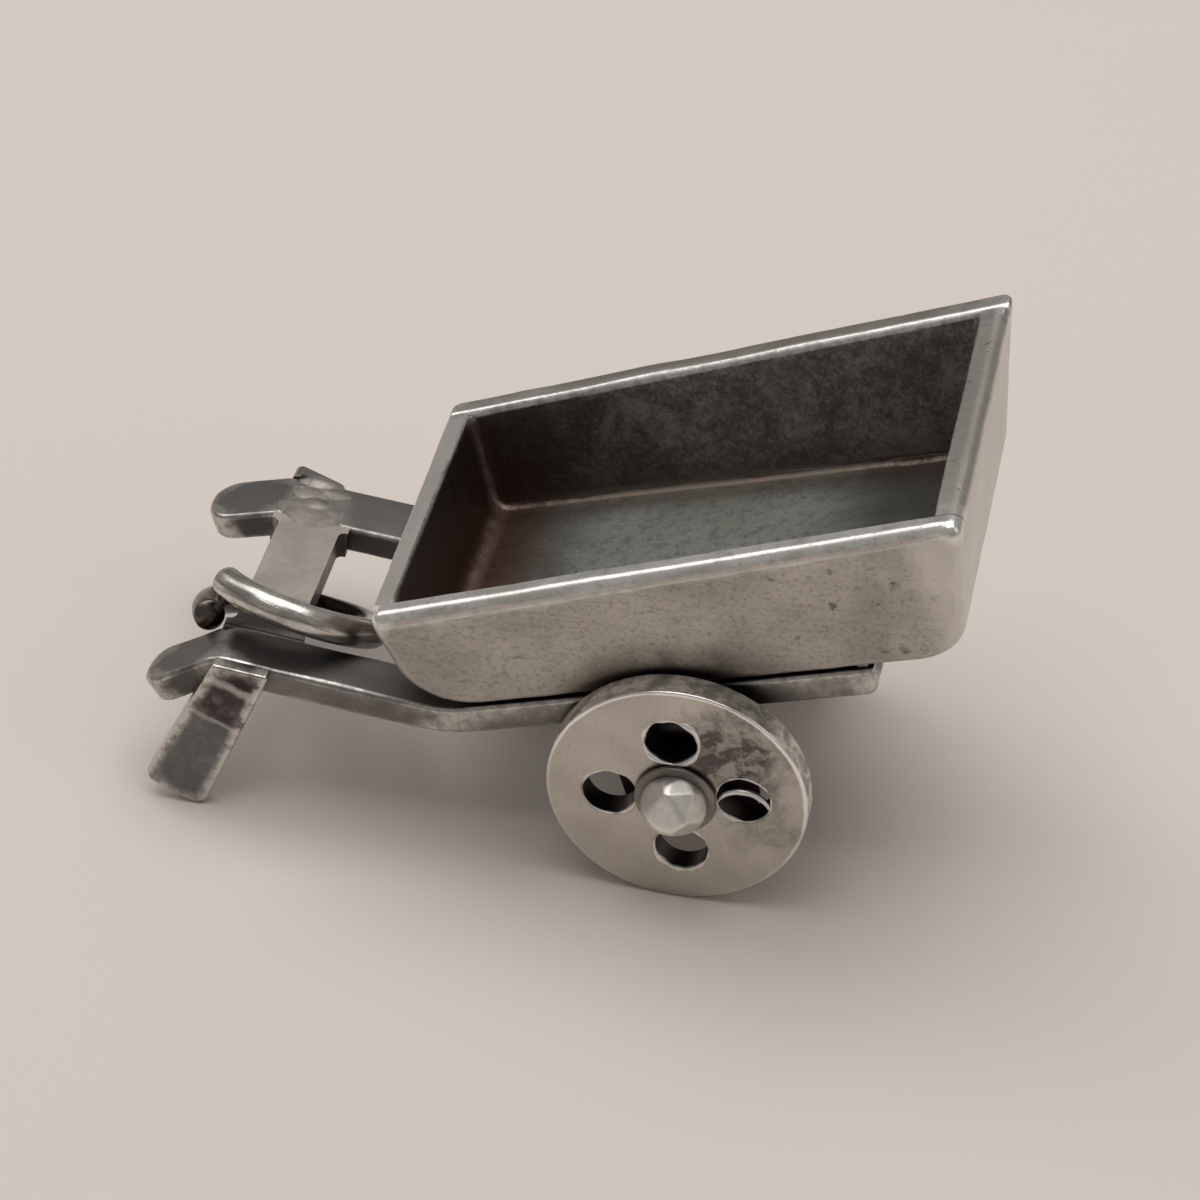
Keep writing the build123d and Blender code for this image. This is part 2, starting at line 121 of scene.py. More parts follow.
class Bench:
    """Modelling steps by operator, on one piece at a time."""

    @staticmethod
    def clear() -> None:
        """Leaves edit mode and selects nothing."""
        if bpy.context.mode != "OBJECT":
            bpy.ops.object.mode_set(mode="OBJECT")
        bpy.ops.object.select_all(action="DESELECT")

    @staticmethod
    def take(piece: Piece) -> None:
        """Selects one piece alone and makes it active."""
        Bench.clear()
        piece.select_set(True)
        bpy.context.view_layer.objects.active = piece

    @staticmethod
    def name_last(name: str) -> Piece:
        """Names the piece that an operator has just added."""
        piece = bpy.context.object
        piece.name = name
        piece.data.name = name
        return piece

    @staticmethod
    def add(name: str, primitive: Callable[..., object], **settings: object) -> Piece:
        """Adds one primitive.

        Args:
            name: The piece's name.
            primitive: The operator that adds it.
            settings: The operator's settings.

        Returns:
            The piece.
        """
        Bench.clear()
        primitive(**settings)
        return Bench.name_last(name)

    @staticmethod
    @contextmanager
    def editing(piece: Piece, mode: str = "FACE") -> Iterator[None]:
        """Edit mode on one piece with everything selected.

        Args:
            piece: The piece to edit.
            mode: What is selected: VERT, EDGE or FACE.
        """
        Bench.take(piece)
        bpy.ops.object.mode_set(mode="EDIT")
        bpy.ops.mesh.select_mode(type=mode)
        bpy.ops.mesh.select_all(action="SELECT")
        try:
            yield
        finally:
            bpy.ops.object.mode_set(mode="OBJECT")

    @staticmethod
    def settle(piece: Piece) -> None:
        """Puts the piece's place into its mesh."""
        Bench.take(piece)
        bpy.ops.object.transform_apply(location=True, rotation=True, scale=True)

    @staticmethod
    def modify(piece: Piece, kind: str, **settings: object) -> None:
        """Adds one modifier with its settings and applies it.

        Args:
            piece: The piece to change.
            kind: The modifier's type.
            settings: Its properties by name.
        """
        Bench.take(piece)
        modifier = piece.modifiers.new(kind.lower(), kind)
        for key, value in settings.items():
            setattr(modifier, key, value)
        bpy.ops.object.modifier_apply(modifier=modifier.name)

    @staticmethod
    def cut(piece: Piece, point: Vector, normal: Vector, drop: bool = False) -> None:
        """Cuts the whole piece by a plane.

        Args:
            piece: The piece to cut.
            point: A point of the plane.
            normal: The plane's normal.
            drop: Whether what lies along the normal is dropped and the cut filled.
        """
        with Bench.editing(piece):
            bpy.ops.mesh.bisect(plane_co=point, plane_no=normal, use_fill=drop, clear_outer=drop)

    @staticmethod
    def score(piece: Piece, direction: Vector, step: float) -> None:
        """Divides the piece by evenly spaced parallel cuts.

        Args:
            piece: The piece to divide.
            direction: The direction across the cuts.
            step: The distance between two cuts, in metres.
        """
        heights = [vertex.co.dot(direction) for vertex in piece.data.vertices]
        first = min(heights) + step / 2
        count = int((max(heights) - first) / step) + 1
        for index in range(count):
            Bench.cut(piece, direction * (first + index * step), direction)

    @staticmethod
    def hammer(piece: Piece, size: float, depth: float) -> None:
        """Moves the surface in and out in soft dents.

        Args:
            piece: The piece, already divided finely enough.
            size: The dents' size, in millimetres.
            depth: From the deepest to the highest point, in millimetres.
        """
        dents = bpy.data.textures.new(f"{piece.name}_dents", "CLOUDS")
        dents.noise_scale = size * MM
        dents.noise_depth = 1
        Bench.modify(piece, "DISPLACE", texture=dents, strength=depth * MM, mid_level=0.5, texture_coords="GLOBAL")
        bpy.data.textures.remove(dents)

    @staticmethod
    def melt(piece: Piece, grain: float, rubs: int) -> None:
        """Makes one skin of all that overlaps, on a grain in millimetres, and evens it out by some rubs."""
        Bench.modify(piece, "REMESH", mode="VOXEL", voxel_size=grain * MM)
        Bench.modify(piece, "SMOOTH", factor=0.5, iterations=rubs)

    @staticmethod
    def smooth(piece: Piece, shading: Shading) -> None:
        """Smooths the shading up to the given angle and keeps flats flat."""
        Bench.take(piece)
        bpy.ops.object.shade_smooth_by_angle(angle=math.radians(shading.value))
        Bench.modify(piece, "WEIGHTED_NORMAL", weight=100, keep_sharp=True)

    @staticmethod
    def mark_wear(piece: Piece, tightest: float = 0.45, spread: float = 0.2, rubs: int = 2) -> None:
        """Notes on each vertex how tightly the surface turns outward there, from 0 on flats to 1 on edges.

        Args:
            piece: The worked piece.
            tightest: The radius, in millimetres, from which down a turn counts in full.
            spread: The longest step, in millimetres, over which the wear evens out.
            rubs: How often it is evened out.
        """
        mesh = piece.data
        meeting: dict[tuple[int, int], list[bpy.types.MeshPolygon]] = {}
        for face in mesh.polygons:
            for key in face.edge_keys:
                meeting.setdefault(key, []).append(face)
        wear = [0.0] * len(mesh.vertices)
        for (first, second), faces in meeting.items():
            if len(faces) != 2:
                continue
            step = faces[1].center - faces[0].center
            if step.dot(faces[0].normal) > 0.0:
                continue
            along = (mesh.vertices[second].co - mesh.vertices[first].co).normalized()
            width = max((step - along * step.dot(along)).length, MICRON)
            turn = faces[0].normal.angle(faces[1].normal, 0.0)
            share = min(1.0, turn * tightest * MM / width)
            wear[first] = max(wear[first], share)
            wear[second] = max(wear[second], share)
        beside: list[list[int]] = [[] for _ in wear]
        for edge in mesh.edges:
            first, second = edge.vertices
            if (mesh.vertices[second].co - mesh.vertices[first].co).length < spread * MM:
                beside[first].append(second)
                beside[second].append(first)
        for _ in range(rubs):
            wear = [
                (own + sum(wear[other] for other in others)) / (1 + len(others)) for own, others in zip(wear, beside)
            ]
        mesh.attributes.new("wear", "FLOAT", "POINT").data.foreach_set("value", wear)

    @staticmethod
    def join(pieces: Sequence[Piece], name: str) -> Piece:
        """Makes one piece of several.

        Args:
            pieces: The pieces, of which the first stays.
            name: The joined piece's name.

        Returns:
            The joined piece.
        """
        Bench.take(pieces[0])
        for piece in pieces[1:]:
            piece.select_set(True)
        bpy.ops.object.join()
        return Bench.name_last(name)

    @staticmethod
    def sheet_copy(node: str, name: str) -> Piece:
        """A merged copy of a CAD node, ready to be worked.

        Args:
            node: The CAD node's name.
            name: The copy's name.

        Returns:
            The copy, at the node's place.
        """
        piece = bpy.data.objects.new(name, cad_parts[node].data.copy())
        piece.data.name = name
        bpy.context.scene.collection.objects.link(piece)
        Bench.take(piece)
        bpy.ops.mesh.customdata_custom_splitnormals_clear()
        with Bench.editing(piece, "VERT"):
            bpy.ops.mesh.remove_doubles(threshold=0.5 * MICRON)
        return piece


@dataclass(frozen=True)
class Field:
    """A value or a colour that changes over a surface, as a node gives it."""

    draft: "Draft"
    socket: bpy.types.NodeSocket

    def __mul__(self, other: Value) -> "Field":
        """The product of two values."""
        return self.draft.math("MULTIPLY", self, other)

    def __add__(self, other: Value) -> "Field":
        """The sum of two values."""
        return self.draft.math("ADD", self, other)

    def __radd__(self, other: float) -> "Field":
        """The sum of a number and this value."""
        return self.draft.math("ADD", other, self)

    def __sub__(self, other: Value) -> "Field":
        """The difference of two values."""
        return self.draft.math("SUBTRACT", self, other)

    def __rsub__(self, other: float) -> "Field":
        """The difference of a number and this value."""
        return self.draft.math("SUBTRACT", other, self)

    def __abs__(self) -> "Field":
        """The value without its sign."""
        return self.draft.math("ABSOLUTE", self)

    def most(self, other: Value) -> "Field":
        """The larger of two values."""
        return self.draft.math("MAXIMUM", self, other)

    def least(self, other: Value) -> "Field":
        """The smaller of two values."""
        return self.draft.math("MINIMUM", self, other)

    def band(self, low: float, high: float) -> "Field":
        """0 below low and 1 above high, with a soft step between; low may be the larger."""
        first, last = (1.0, 0.0) if low > high else (0.0, 1.0)
        inputs = {
            "Value": self, "From Min": min(low, high), "From Max": max(low, high), "To Min": first, "To Max": last
        }
        return self.draft.node("ShaderNodeMapRange", "Result", inputs, interpolation_type="SMOOTHSTEP")

    def lerp(self, first: Value, second: Value) -> "Field":
        """The first value where this is 0 and the second where it is 1."""
        return self.draft.node("ShaderNodeMix", 0, {0: self, 2: first, 3: second}, data_type="FLOAT")

    def off(self, middle: float) -> "Field":
        """How far the value lies from its middle."""
        return abs(self - middle)

    def about(self, noise: "Field", reach: float) -> "Field":
        """The value moved up and down by noise, by half the reach each way."""
        return self + (noise - 0.5) * reach


class Draft:
    """A material's node tree, drawn one node at a time, on the piece's own coordinates."""

    def __init__(self, name: str) -> None:
        """Starts an empty material with its coordinates.

        Args:
            name: The material's name.
        """
        self.material = bpy.data.materials.new(name)
        self.material.use_nodes = True
        self.tree = self.material.node_tree
        self.tree.nodes.clear()
        coordinates = self.add("ShaderNodeTexCoord", {})
        self.place = Field(self, coordinates.outputs["Object"])
        self.normal = Field(self, coordinates.outputs["Normal"])

    def add(self, kind: str, inputs: dict[Union[str, int], object], **settings: object) -> bpy.types.Node:
        """Adds a node.

        Args:
            kind: The node's type.
            inputs: What goes into its inputs: fields, numbers, vectors or colours.
            settings: Its properties by name.

        Returns:
            The node.
        """
        node = self.tree.nodes.new(kind)
        for key, value in settings.items():
            setattr(node, key, value)
        for key, value in inputs.items():
            socket = node.inputs[key]
            if isinstance(value, Field):
                self.tree.links.new(value.socket, socket)
            elif socket.type == "RGBA":
                socket.default_value = (*value, 1.0)
            else:
                socket.default_value = value
        return node

    def node(
        self, kind: str, output: Union[str, int], inputs: dict[Union[str, int], object], **settings: object
    ) -> Field:
        """Adds a node, like add, and gives one of its outputs."""
        return Field(self, self.add(kind, inputs, **settings).outputs[output])

    def math(self, operation: str, first: Value, second: Value = 0.0) -> Field:
        """One value from two, by the Math node's operation."""
        return self.node("ShaderNodeMath", 0, {0: first, 1: second}, operation=operation)

    def vector(
        self, operation: str, first: object, second: object = (0.0, 0.0, 0.0), output: str = "Vector"
    ) -> Field:
        """One vector from two, by the Vector Math node's operation."""
        return self.node("ShaderNodeVectorMath", output, {0: first, 1: second}, operation=operation)

    def dot(self, first: object, second: object) -> Field:
        """The dot product of two vectors."""
        return self.vector("DOT_PRODUCT", first, second, "Value")

    def height(self, point: Vector, normal: Vector) -> Field:
        """The distance of the surface point from a plane, in millimetres, along the plane's normal."""
        return (self.dot(self.place, normal) - point.dot(normal)) * (1 / MM)

    def left(self) -> Field:
        """How far the surface point lies to the cart's left, in millimetres."""
        return self.height(Vector(), LEFTWARD)

    def along(self, start: float = 0.0) -> Field:
        """How far the surface point lies along the tub's floor, towards the tail, in millimetres."""
        return self.height(STANCE.point(start, 0, 0), STANCE.direction(1, 0, 0))

    def spoke(self, point: Vector) -> Field:
        """The way to the surface point from the line that runs across the cart through a point."""
        return self.vector("MULTIPLY", self.vector("SUBTRACT", self.place, point), (1.0, 0.0, 1.0))

    def length(self, vector: Field) -> Field:
        """The length of a vector, in millimetres."""
        return self.vector("LENGTH", vector, output="Value") * (1 / MM)

    def noise(
        self, size: float, detail: float = 4.0, rough: float = 0.55, bend: float = 0.0,
        stretch: Optional[Triple] = None, turn: Triple = (0.0, 0.0, 0.0),
    ) -> Field:
        """Soft noise over the surface.

        Args:
            size: The size of its patches, in millimetres.
            detail: How many finer layers it has.
            rough: How strong the finer layers are.
            bend: How far its shapes are pulled about.
            stretch: Scale of each axis, for noise that runs one way.
            turn: The angles that the stretched axes are turned by, in degrees.

        Returns:
            The noise's value, from 0 to 1 and about 0.5 on average.
        """
        place = self.place
        if stretch is not None:
            angles = tuple(math.radians(angle) for angle in turn)
            place = self.node("ShaderNodeMapping", "Vector", {"Vector": place, "Rotation": angles, "Scale": stretch})
        inputs = {
            "Vector": place, "Scale": 1 / (size * MM), "Detail": detail, "Roughness": rough, "Distortion": bend
        }
        return self.node("ShaderNodeTexNoise", "Fac", inputs)

    def pits(self, size: float, share: float, radius: float, ragged: float = 0.0) -> Field:
        """Small pits, 1 at their middle.

        Args:
            size: The mean distance between possible pits, in millimetres.
            share: The share of them that is there.
            radius: A pit's radius as a share of the distance.
            ragged: How far their outline is pulled about, in millimetres.

        Returns:
            The pits' mask.
        """
        place = self.place
        if ragged:
            inputs = {"Vector": place, "Scale": 3 / (size * MM), "Detail": 3.0}
            shift = self.vector("SUBTRACT", self.node("ShaderNodeTexNoise", "Color", inputs), (0.5, 0.5, 0.5))
            place = self.vector("ADD", place, self.vector("MULTIPLY", shift, (2 * ragged * MM,) * 3))
        cells = self.add("ShaderNodeTexVoronoi", {"Vector": place, "Scale": 1 / (size * MM)})
        there = Field(self, cells.outputs["Color"]).band(1.0 - share, 1.0 - share + 0.05)
        return Field(self, cells.outputs["Distance"]).band(radius, radius * 0.35) * there

    def layers(self, base: Colour, *layers: tuple[Value, Colour]) -> Field:
        """A base colour with others laid over it in turn, each one full where its share is 1."""
        for share, colour in layers:
            base = self.node("ShaderNodeMix", 2, {0: share, 6: base, 7: colour}, data_type="RGBA")
        return base

    def openness(self, reach: float) -> Field:
        """How open the surface lies, from 0 in a deep corner to 1 on a free face."""
        return self.node("ShaderNodeAmbientOcclusion", "AO", {"Distance": reach * MM}, samples=8)

    def mark(self, name: str, output: str = "Fac") -> Field:
        """A note that the piece carries on its vertices."""
        return self.node("ShaderNodeAttribute", output, {}, attribute_name=name)

    def relief(self, height: Value, depth: float) -> Field:
        """A normal from a height of 0 to 1 that stands for the given depth in micrometres."""
        return self.node("ShaderNodeBump", "Normal", {"Distance": depth * MICRON, "Height": height})

    def finish(self, inputs: dict[str, object]) -> Material:
        """Closes the material with the inputs of its Principled node."""
        surface = self.node("ShaderNodeBsdfPrincipled", "BSDF", inputs)
        self.add("ShaderNodeOutputMaterial", {"Surface": surface})
        return self.material


@dataclass(frozen=True)
class Coat:
    """What one silver surface looks like at one point: colour, roughness, relief height and worn edge."""

    colour: Field
    rough: Field
    height: Field
    edge: Field


@dataclass(frozen=True)
class Silver:
    """Silver with its wear: clean metal, grey toning in patches, dark toning and painted shade in corners, bright
    edges.
    """

    name: str
    clean: Rgb = (0.80, 0.775, 0.735)
    toned: Rgb = (0.42, 0.39, 0.36)
    deep: Rgb = (0.06, 0.05, 0.047)
    bright: Rgb = (0.96, 0.945, 0.91)
    toned_share: float = 0.45
    toned_depth: float = 0.5
    deep_reach: float = 1.1
    # How far closed-in places darken, by toning and painted shade.
    corner_tone_and_shade: float = 0.8
    satin: float = 0.36
    gloss: float = 0.2
    patch: float = 2.6
    grain: float = 0.09
    grain_depth: float = 0.22
    strokes: float = 0.2
    edge_start: float = 0.3
    edge_share: float = 0.9
    pit_spacing: float = 0.42
    pit_share: float = 0.3
    pit_radius: float = 0.17
    brushed: Triple = (0.05, 1.0, 1.0)
    brush_turn: Triple = (0.0, 18.5, 0.0)
    relief: float = 7.0
    stroke_size: float = 0.16
    pit_dark: float = 0.7
    rough_spread: float = 0.25
    grain_height: float = 0.5
    stroke_height: float = 0.35
    pit_height: float = 1.4
    patch_height: float = 1.2

    def pit_field(self, draft: Draft) -> Field:
        """How thick the pits lie, from 0 to 1."""
        return draft.noise(3.4, 3.0).band(0.4, 0.62)

    def worn_edge(self, draft: Draft, noise: Field) -> Field:
        """Where the edges are rubbed bright, from 0 to 1."""
        wear = draft.mark("wear").about(noise, 0.22).band(self.edge_start, 0.95)
        uneven = noise.band(0.35, 0.62).lerp(0.45, self.edge_share)
        return wear * uneven.least(self.edge_share)

    def coat(self, draft: Draft) -> Coat:
        """Draws what all silver has: toned patches, grain, strokes, pits, toning and painted shade in corners, worn
        edges.

        Args:
            draft: The material being drawn.

        Returns:
            The coat.
        """
        patches = draft.noise(self.patch, 4.0, 0.55, 0.4)
        grain = draft.noise(self.grain, 4.0, 0.65)
        strokes = draft.noise(self.stroke_size, 4.0, 0.68, 0.0, self.brushed, self.brush_turn)
        pits = draft.pits(self.pit_spacing, self.pit_share, self.pit_radius) * self.pit_field(draft)
        open_share = draft.openness(self.deep_reach)
        edge = self.worn_edge(draft, draft.noise(0.3, 5.0, 0.65)) * open_share.band(0.3, 0.65)

        patch_low = 0.75 - 0.55 * self.toned_share
        toned = patches.band(patch_low - 0.22, patch_low + 0.22) * self.toned_depth
        colour = draft.layers(
            self.clean,
            (toned, self.toned),
            (grain.band(0.45, 0.75) * self.grain_depth, self.toned),
            (strokes.band(0.5, 0.72) * self.strokes, self.toned),
            # Darker where the surface is closed in: dark toning in hollows, and painted shade in corners and between
            # parts.
            (open_share.band(0.8, 0.25) * self.corner_tone_and_shade, self.deep),
            (pits * self.pit_dark, self.deep),
        )
        rough = toned.lerp(self.satin, self.satin + 0.1).about(grain, self.rough_spread)
        height = grain * self.grain_height + strokes * self.stroke_height - pits * self.pit_height
        return Coat(colour, rough, height + patches * self.patch_height, edge)

    def worn(self, draft: Draft, coat: Coat) -> Coat:
        """Adds what only this piece's silver has; plain silver has nothing more.

        Args:
            draft: The material being drawn.
            coat: The coat that all silver has.

        Returns:
            The piece's own coat.
        """
        return coat

    def material(self) -> Material:
        """The finished material, with the worn edges over its coat."""
        draft = Draft(self.name)
        coat = self.worn(draft, self.coat(draft))
        colour = draft.layers(coat.colour, (coat.edge, self.bright))
        rough = coat.edge.lerp(coat.rough, self.gloss)
        normal = draft.relief(coat.height, self.relief)
        return draft.finish({"Metallic": 1.0, "Base Color": colour, "Roughness": rough, "Normal": normal})


@dataclass(frozen=True)
class TubSilver(Silver):
    """The tub's silver: satin outside, inside dark by toning and painted shade and stained, with a thin line of
    solder in the inside seams.
    """

    # The hollow's walls: dark partly by toning and partly as painted shade and painted reflection of dark
    # surroundings.
    wall: Rgb = (0.145, 0.136, 0.13)
    wall_light: Rgb = (0.38, 0.357, 0.335)
    wall_black: Rgb = (0.05, 0.046, 0.044)
    front_wall: Rgb = (0.09, 0.066, 0.06)
    floor: Rgb = (0.32, 0.335, 0.297)
    floor_dark: Rgb = (0.085, 0.083, 0.075)
    solder: Rgb = (0.26, 0.205, 0.165)
    rust: Rgb = (0.115, 0.066, 0.05)
    floor_level: float = 3.95
    half_width: float = 3.945
    side_lean: float = 13.3
    front_foot: float = -6.485
    front_lean: float = 1.5
    floor_middle: float = 0.4
    heart: Triple = (0.9, 0.0, 7.0)
    # Painted shade on the left rim.
    left_rim_shade: Rgb = (0.29, 0.262, 0.235)
    # Painted light on the tail's outer face and the front rim.
    painted_light_tone: Rgb = (0.70, 0.672, 0.64)
    tail_from: float = 8.1
    rim_front: Triple = (-7.2237, 0.0, 6.96)
    rim_rise: float = 4.02
    rim_half_width: float = 4.6
    # The way the left rim's inner edge faces where it gets a painted highlight.
    highlight_side: Triple = (0.0, -0.42, 0.9075)
    rubbed_rough: float = 0.24
    ding_spacing: float = 0.75
    rim_band: Pair = (-0.46, -0.2)
    crest_band: Pair = (-0.3, -0.14)
    rim_step: float = 0.3
    floor_edge: Pair = (0.34, 0.12)
    low_stain: Pair = (1.3, 0.25)
    front_stain: Pair = (1.4, 0.2)
    foot_stain: Pair = (3.4, 0.5)
    low_bead: Pair = (0.16, 0.07)
    front_bead: Pair = (0.2, 0.1)
    foot_bead: Pair = (0.34, 0.18)

    def pit_field(self, draft: Draft) -> Field:
        """Few pits at the front and many towards the tail."""
        cloud = draft.noise(1.6, 4.0, 0.6).band(0.42, 0.6)
        return cloud * (0.25 + draft.along().band(0.5, 7.5) * 0.75)

    def outside(self, draft: Draft, coat: Coat) -> Coat:
        """The plates' outside with its dings, and the rim: worn and painted white as a highlight on the right,
        painted shade on the left with a painted highlight on its inner edge; painted light at the front rim and the
        tail.
        """
        dings = draft.pits(self.ding_spacing, 0.7, 0.24, 0.22) * self.pit_field(draft)
        rise = math.radians(self.rim_rise)
        below_rim = draft.height(STANCE.point(*self.rim_front), STANCE.direction(-math.sin(rise), 0, math.cos(rise)))
        flecks = draft.noise(0.28, 5.0, 0.68)
        rim = below_rim.about(flecks, 0.5).band(*self.rim_band)
        left = draft.left()
        along = draft.along()
        on_right = left.band(-self.rim_half_width + self.rim_step, -self.rim_half_width)
        on_left = left.band(self.rim_half_width - self.rim_step, self.rim_half_width)
        # Painted highlight along the left rim's inner edge, where its faces turn forward and up.
        left_crest_highlight = draft.dot(draft.normal, self.highlight_side).band(0.8, 0.93) * on_left * 0.9
        # The right rim's crest: worn, and also painted white as a highlight.
        right_crest = below_rim.about(flecks, 0.22).band(*self.crest_band) * on_right
        rubbed = rim * left_crest_highlight.most(right_crest) * flecks.band(0.72, 0.48)
        rubbed = rubbed * draft.noise(1.3, 3.0).band(0.36, 0.6).lerp(0.35, 1.0)
        # Painted light on the front rim, and on the tail's outer face below.
        front_rim_light = rim * along.band(self.rim_front[0] + 0.9, self.rim_front[0] + 0.6)
        tail = along.band(self.tail_from, self.tail_from + 0.8) * rim.lerp(1.0, 0.15)
        colour = draft.layers(
            coat.colour,
            (dings * 0.75, self.deep),
            (tail * 0.7, self.painted_light_tone),
            (front_rim_light * 0.7, self.painted_light_tone),
            # Painted shade on the left rim, then worn crests with painted highlights in white.
            (rim * on_left * 0.75, self.left_rim_shade),
            (rubbed, self.bright),
        )
        edge = coat.edge * below_rim.band(-0.9, -0.4).lerp(0.22, 0.6)
        return Coat(colour, rubbed.lerp(coat.rough, self.rubbed_rough), coat.height - dings * 1.6, edge)

    def worn(self, draft: Draft, coat: Coat) -> Coat:
        """Adds the outside's wear and painted light, and the hollow's walls, dark by toning and painted shade, its
        grey floor, stains and seams.
        """
        outside = self.outside(draft, coat)
        lean = math.radians(self.side_lean)
        front = math.radians(self.front_lean)
        inward = draft.vector("NORMALIZE", draft.vector("SUBTRACT", STANCE.point(*self.heart), draft.place))
        hollow = draft.dot(draft.normal, inward).band(0.05, 0.3)

        above_floor = draft.height(STANCE.point(0, 0, self.floor_level), STANCE.direction(0, 0, 1))
        from_right, from_left = (
            draft.height(
                STANCE.point(0, side.value * self.half_width, self.floor_level),
                STANCE.direction(0, -side.value * math.cos(lean), math.sin(lean)),
            )
            for side in Side
        )
        beside = from_right.least(from_left)
        behind_front = draft.height(
            STANCE.point(self.front_foot, 0, self.floor_level), STANCE.direction(math.cos(front), 0, math.sin(front))
        )
        along = draft.along(self.floor_middle)
        mottle = draft.noise(0.32, 6.0, 0.7)
        speck = draft.noise(0.12, 4.0, 0.65)
        cloud = draft.noise(2.4, 4.0, 0.6, 0.5)
        wobble = (draft.noise(0.5, 5.0, 0.65) - 0.5) * 0.3

        wall_share = (mottle + speck) * 0.32 + cloud * 0.36
        wall = draft.layers(
            self.wall,
            (wall_share.band(0.41, 0.62), self.wall_light),
            (along.about(cloud, 5.0).band(0.0, -5.5) * 0.75, self.wall_black),
            (behind_front.band(1.1, 0.2), self.front_wall),
        )
        floor = draft.layers(
            self.floor,
            (abs(along.about(cloud, 4.0)).band(2.4, 6.4), self.floor_dark),
            (mottle.band(0.45, 0.65) * 0.5, self.floor_dark),
            (speck.band(0.5, 0.7) * 0.3, self.floor_dark),
        )
        low_seam = above_floor.most(beside) + wobble
        front_seam = behind_front.most(beside) + wobble
        front_floor = behind_front.most(above_floor) + wobble
        stain = (low_seam.band(*self.low_stain) * 0.55).most(front_seam.band(*self.front_stain) * 0.6)
        stain = stain.most(front_floor.band(*self.foot_stain))
        bead = (front_seam.band(*self.front_bead) * 0.4).most(low_seam.band(*self.low_bead))
        bead = bead.most(front_floor.band(*self.foot_bead) * 0.4)
        inside = draft.layers(
            wall,
            (above_floor.band(*self.floor_edge), floor),
            (stain * 0.85, self.rust),
            (bead * mottle.band(0.38, 0.6), self.solder),
        )
        rough = low_seam.band(0.5, 0.2).lerp(0.36 + mottle * 0.25, 0.6)
        rough = front_seam.band(0.5, 0.2).lerp(rough, 0.65)
        height = hollow.lerp(outside.height, mottle * 1.2 + speck)
        colour = draft.layers(outside.colour, (hollow, inside))
        return Coat(colour, hollow.lerp(outside.rough, rough), height, outside.edge)


@dataclass(frozen=True)
class WheelSilver(Silver):
    """A wheel's silver: a satin face with one smoky cloud, a dark mottled tread, hole walls painted nearly black as
    shade and a rim with a painted highlight.
    """

    tread: Rgb = (0.36, 0.33, 0.30)
    tread_dark: Rgb = (0.10, 0.09, 0.085)
    smoke: Rgb = (0.24, 0.225, 0.215)
    smoke_clouds: tuple[tuple[float, float, float, float], ...] = ((2.1, 1.15, 2.5, 0.95), (2.4, -1.1, 1.6, 0.4))
    inner_reach: float = 3.2
    tread_reach: float = 3.5
    rim_reach: float = 3.66
    # The way round the rim where its edge gets a painted highlight.
    highlight_side: Triple = (0.3, 0.0, 0.95)
    tread_rough: float = 0.58

    def worn(self, draft: Draft, coat: Coat) -> Coat:
        """Adds the smoky clouds, the tread, painted shade on the holes' walls, and the rim, worn and painted bright
        towards the top as a highlight.
        """
        offset = draft.spoke(STANCE.point(0, 0, 0))
        radius = draft.length(offset)
        flat = abs(draft.dot(draft.normal, LEFTWARD))
        wall = flat.band(0.75, 0.4)
        tread = wall * radius.band(self.inner_reach, self.tread_reach)
        # The holes' walls, painted nearly black as shade.
        bore_shade = wall * radius.band(self.tread_reach, self.inner_reach)

        cloud = draft.noise(1.0, 5.0, 0.62, 0.4)
        uneven = draft.noise(0.42, 5.0, 0.65, 0.6).band(0.38, 0.58).lerp(0.45, 1.0)
        colour = coat.colour
        for x, z, reach, share in self.smoke_clouds:
            spread = draft.length(draft.spoke(STANCE.point(x, 0, z))).about(cloud, 2.8)
            colour = draft.layers(colour, (spread.band(reach, 0.7) * uneven * share, self.smoke))
        mottled = draft.layers(self.tread_dark, (draft.noise(0.5, 5.0, 0.65, 0.3).band(0.4, 0.62), self.tread))
        colour = draft.layers(colour, (tread * 0.9, mottled), (bore_shade * 0.95, self.deep))
        rim = radius.about(cloud, 0.12).band(self.rim_reach - 0.04, self.rim_reach + 0.02) * flat.band(0.15, 0.4)
        # The rim's edge is worn, and painted brightest towards the top as a highlight.
        rubbed = draft.dot(draft.vector("NORMALIZE", offset), self.highlight_side)
        rubbed = rubbed.about(cloud, 0.6).band(-0.7, 0.5).lerp(0.15, self.edge_share)
        return Coat(colour, tread.lerp(coat.rough, self.tread_rough), coat.height, rim * rubbed)


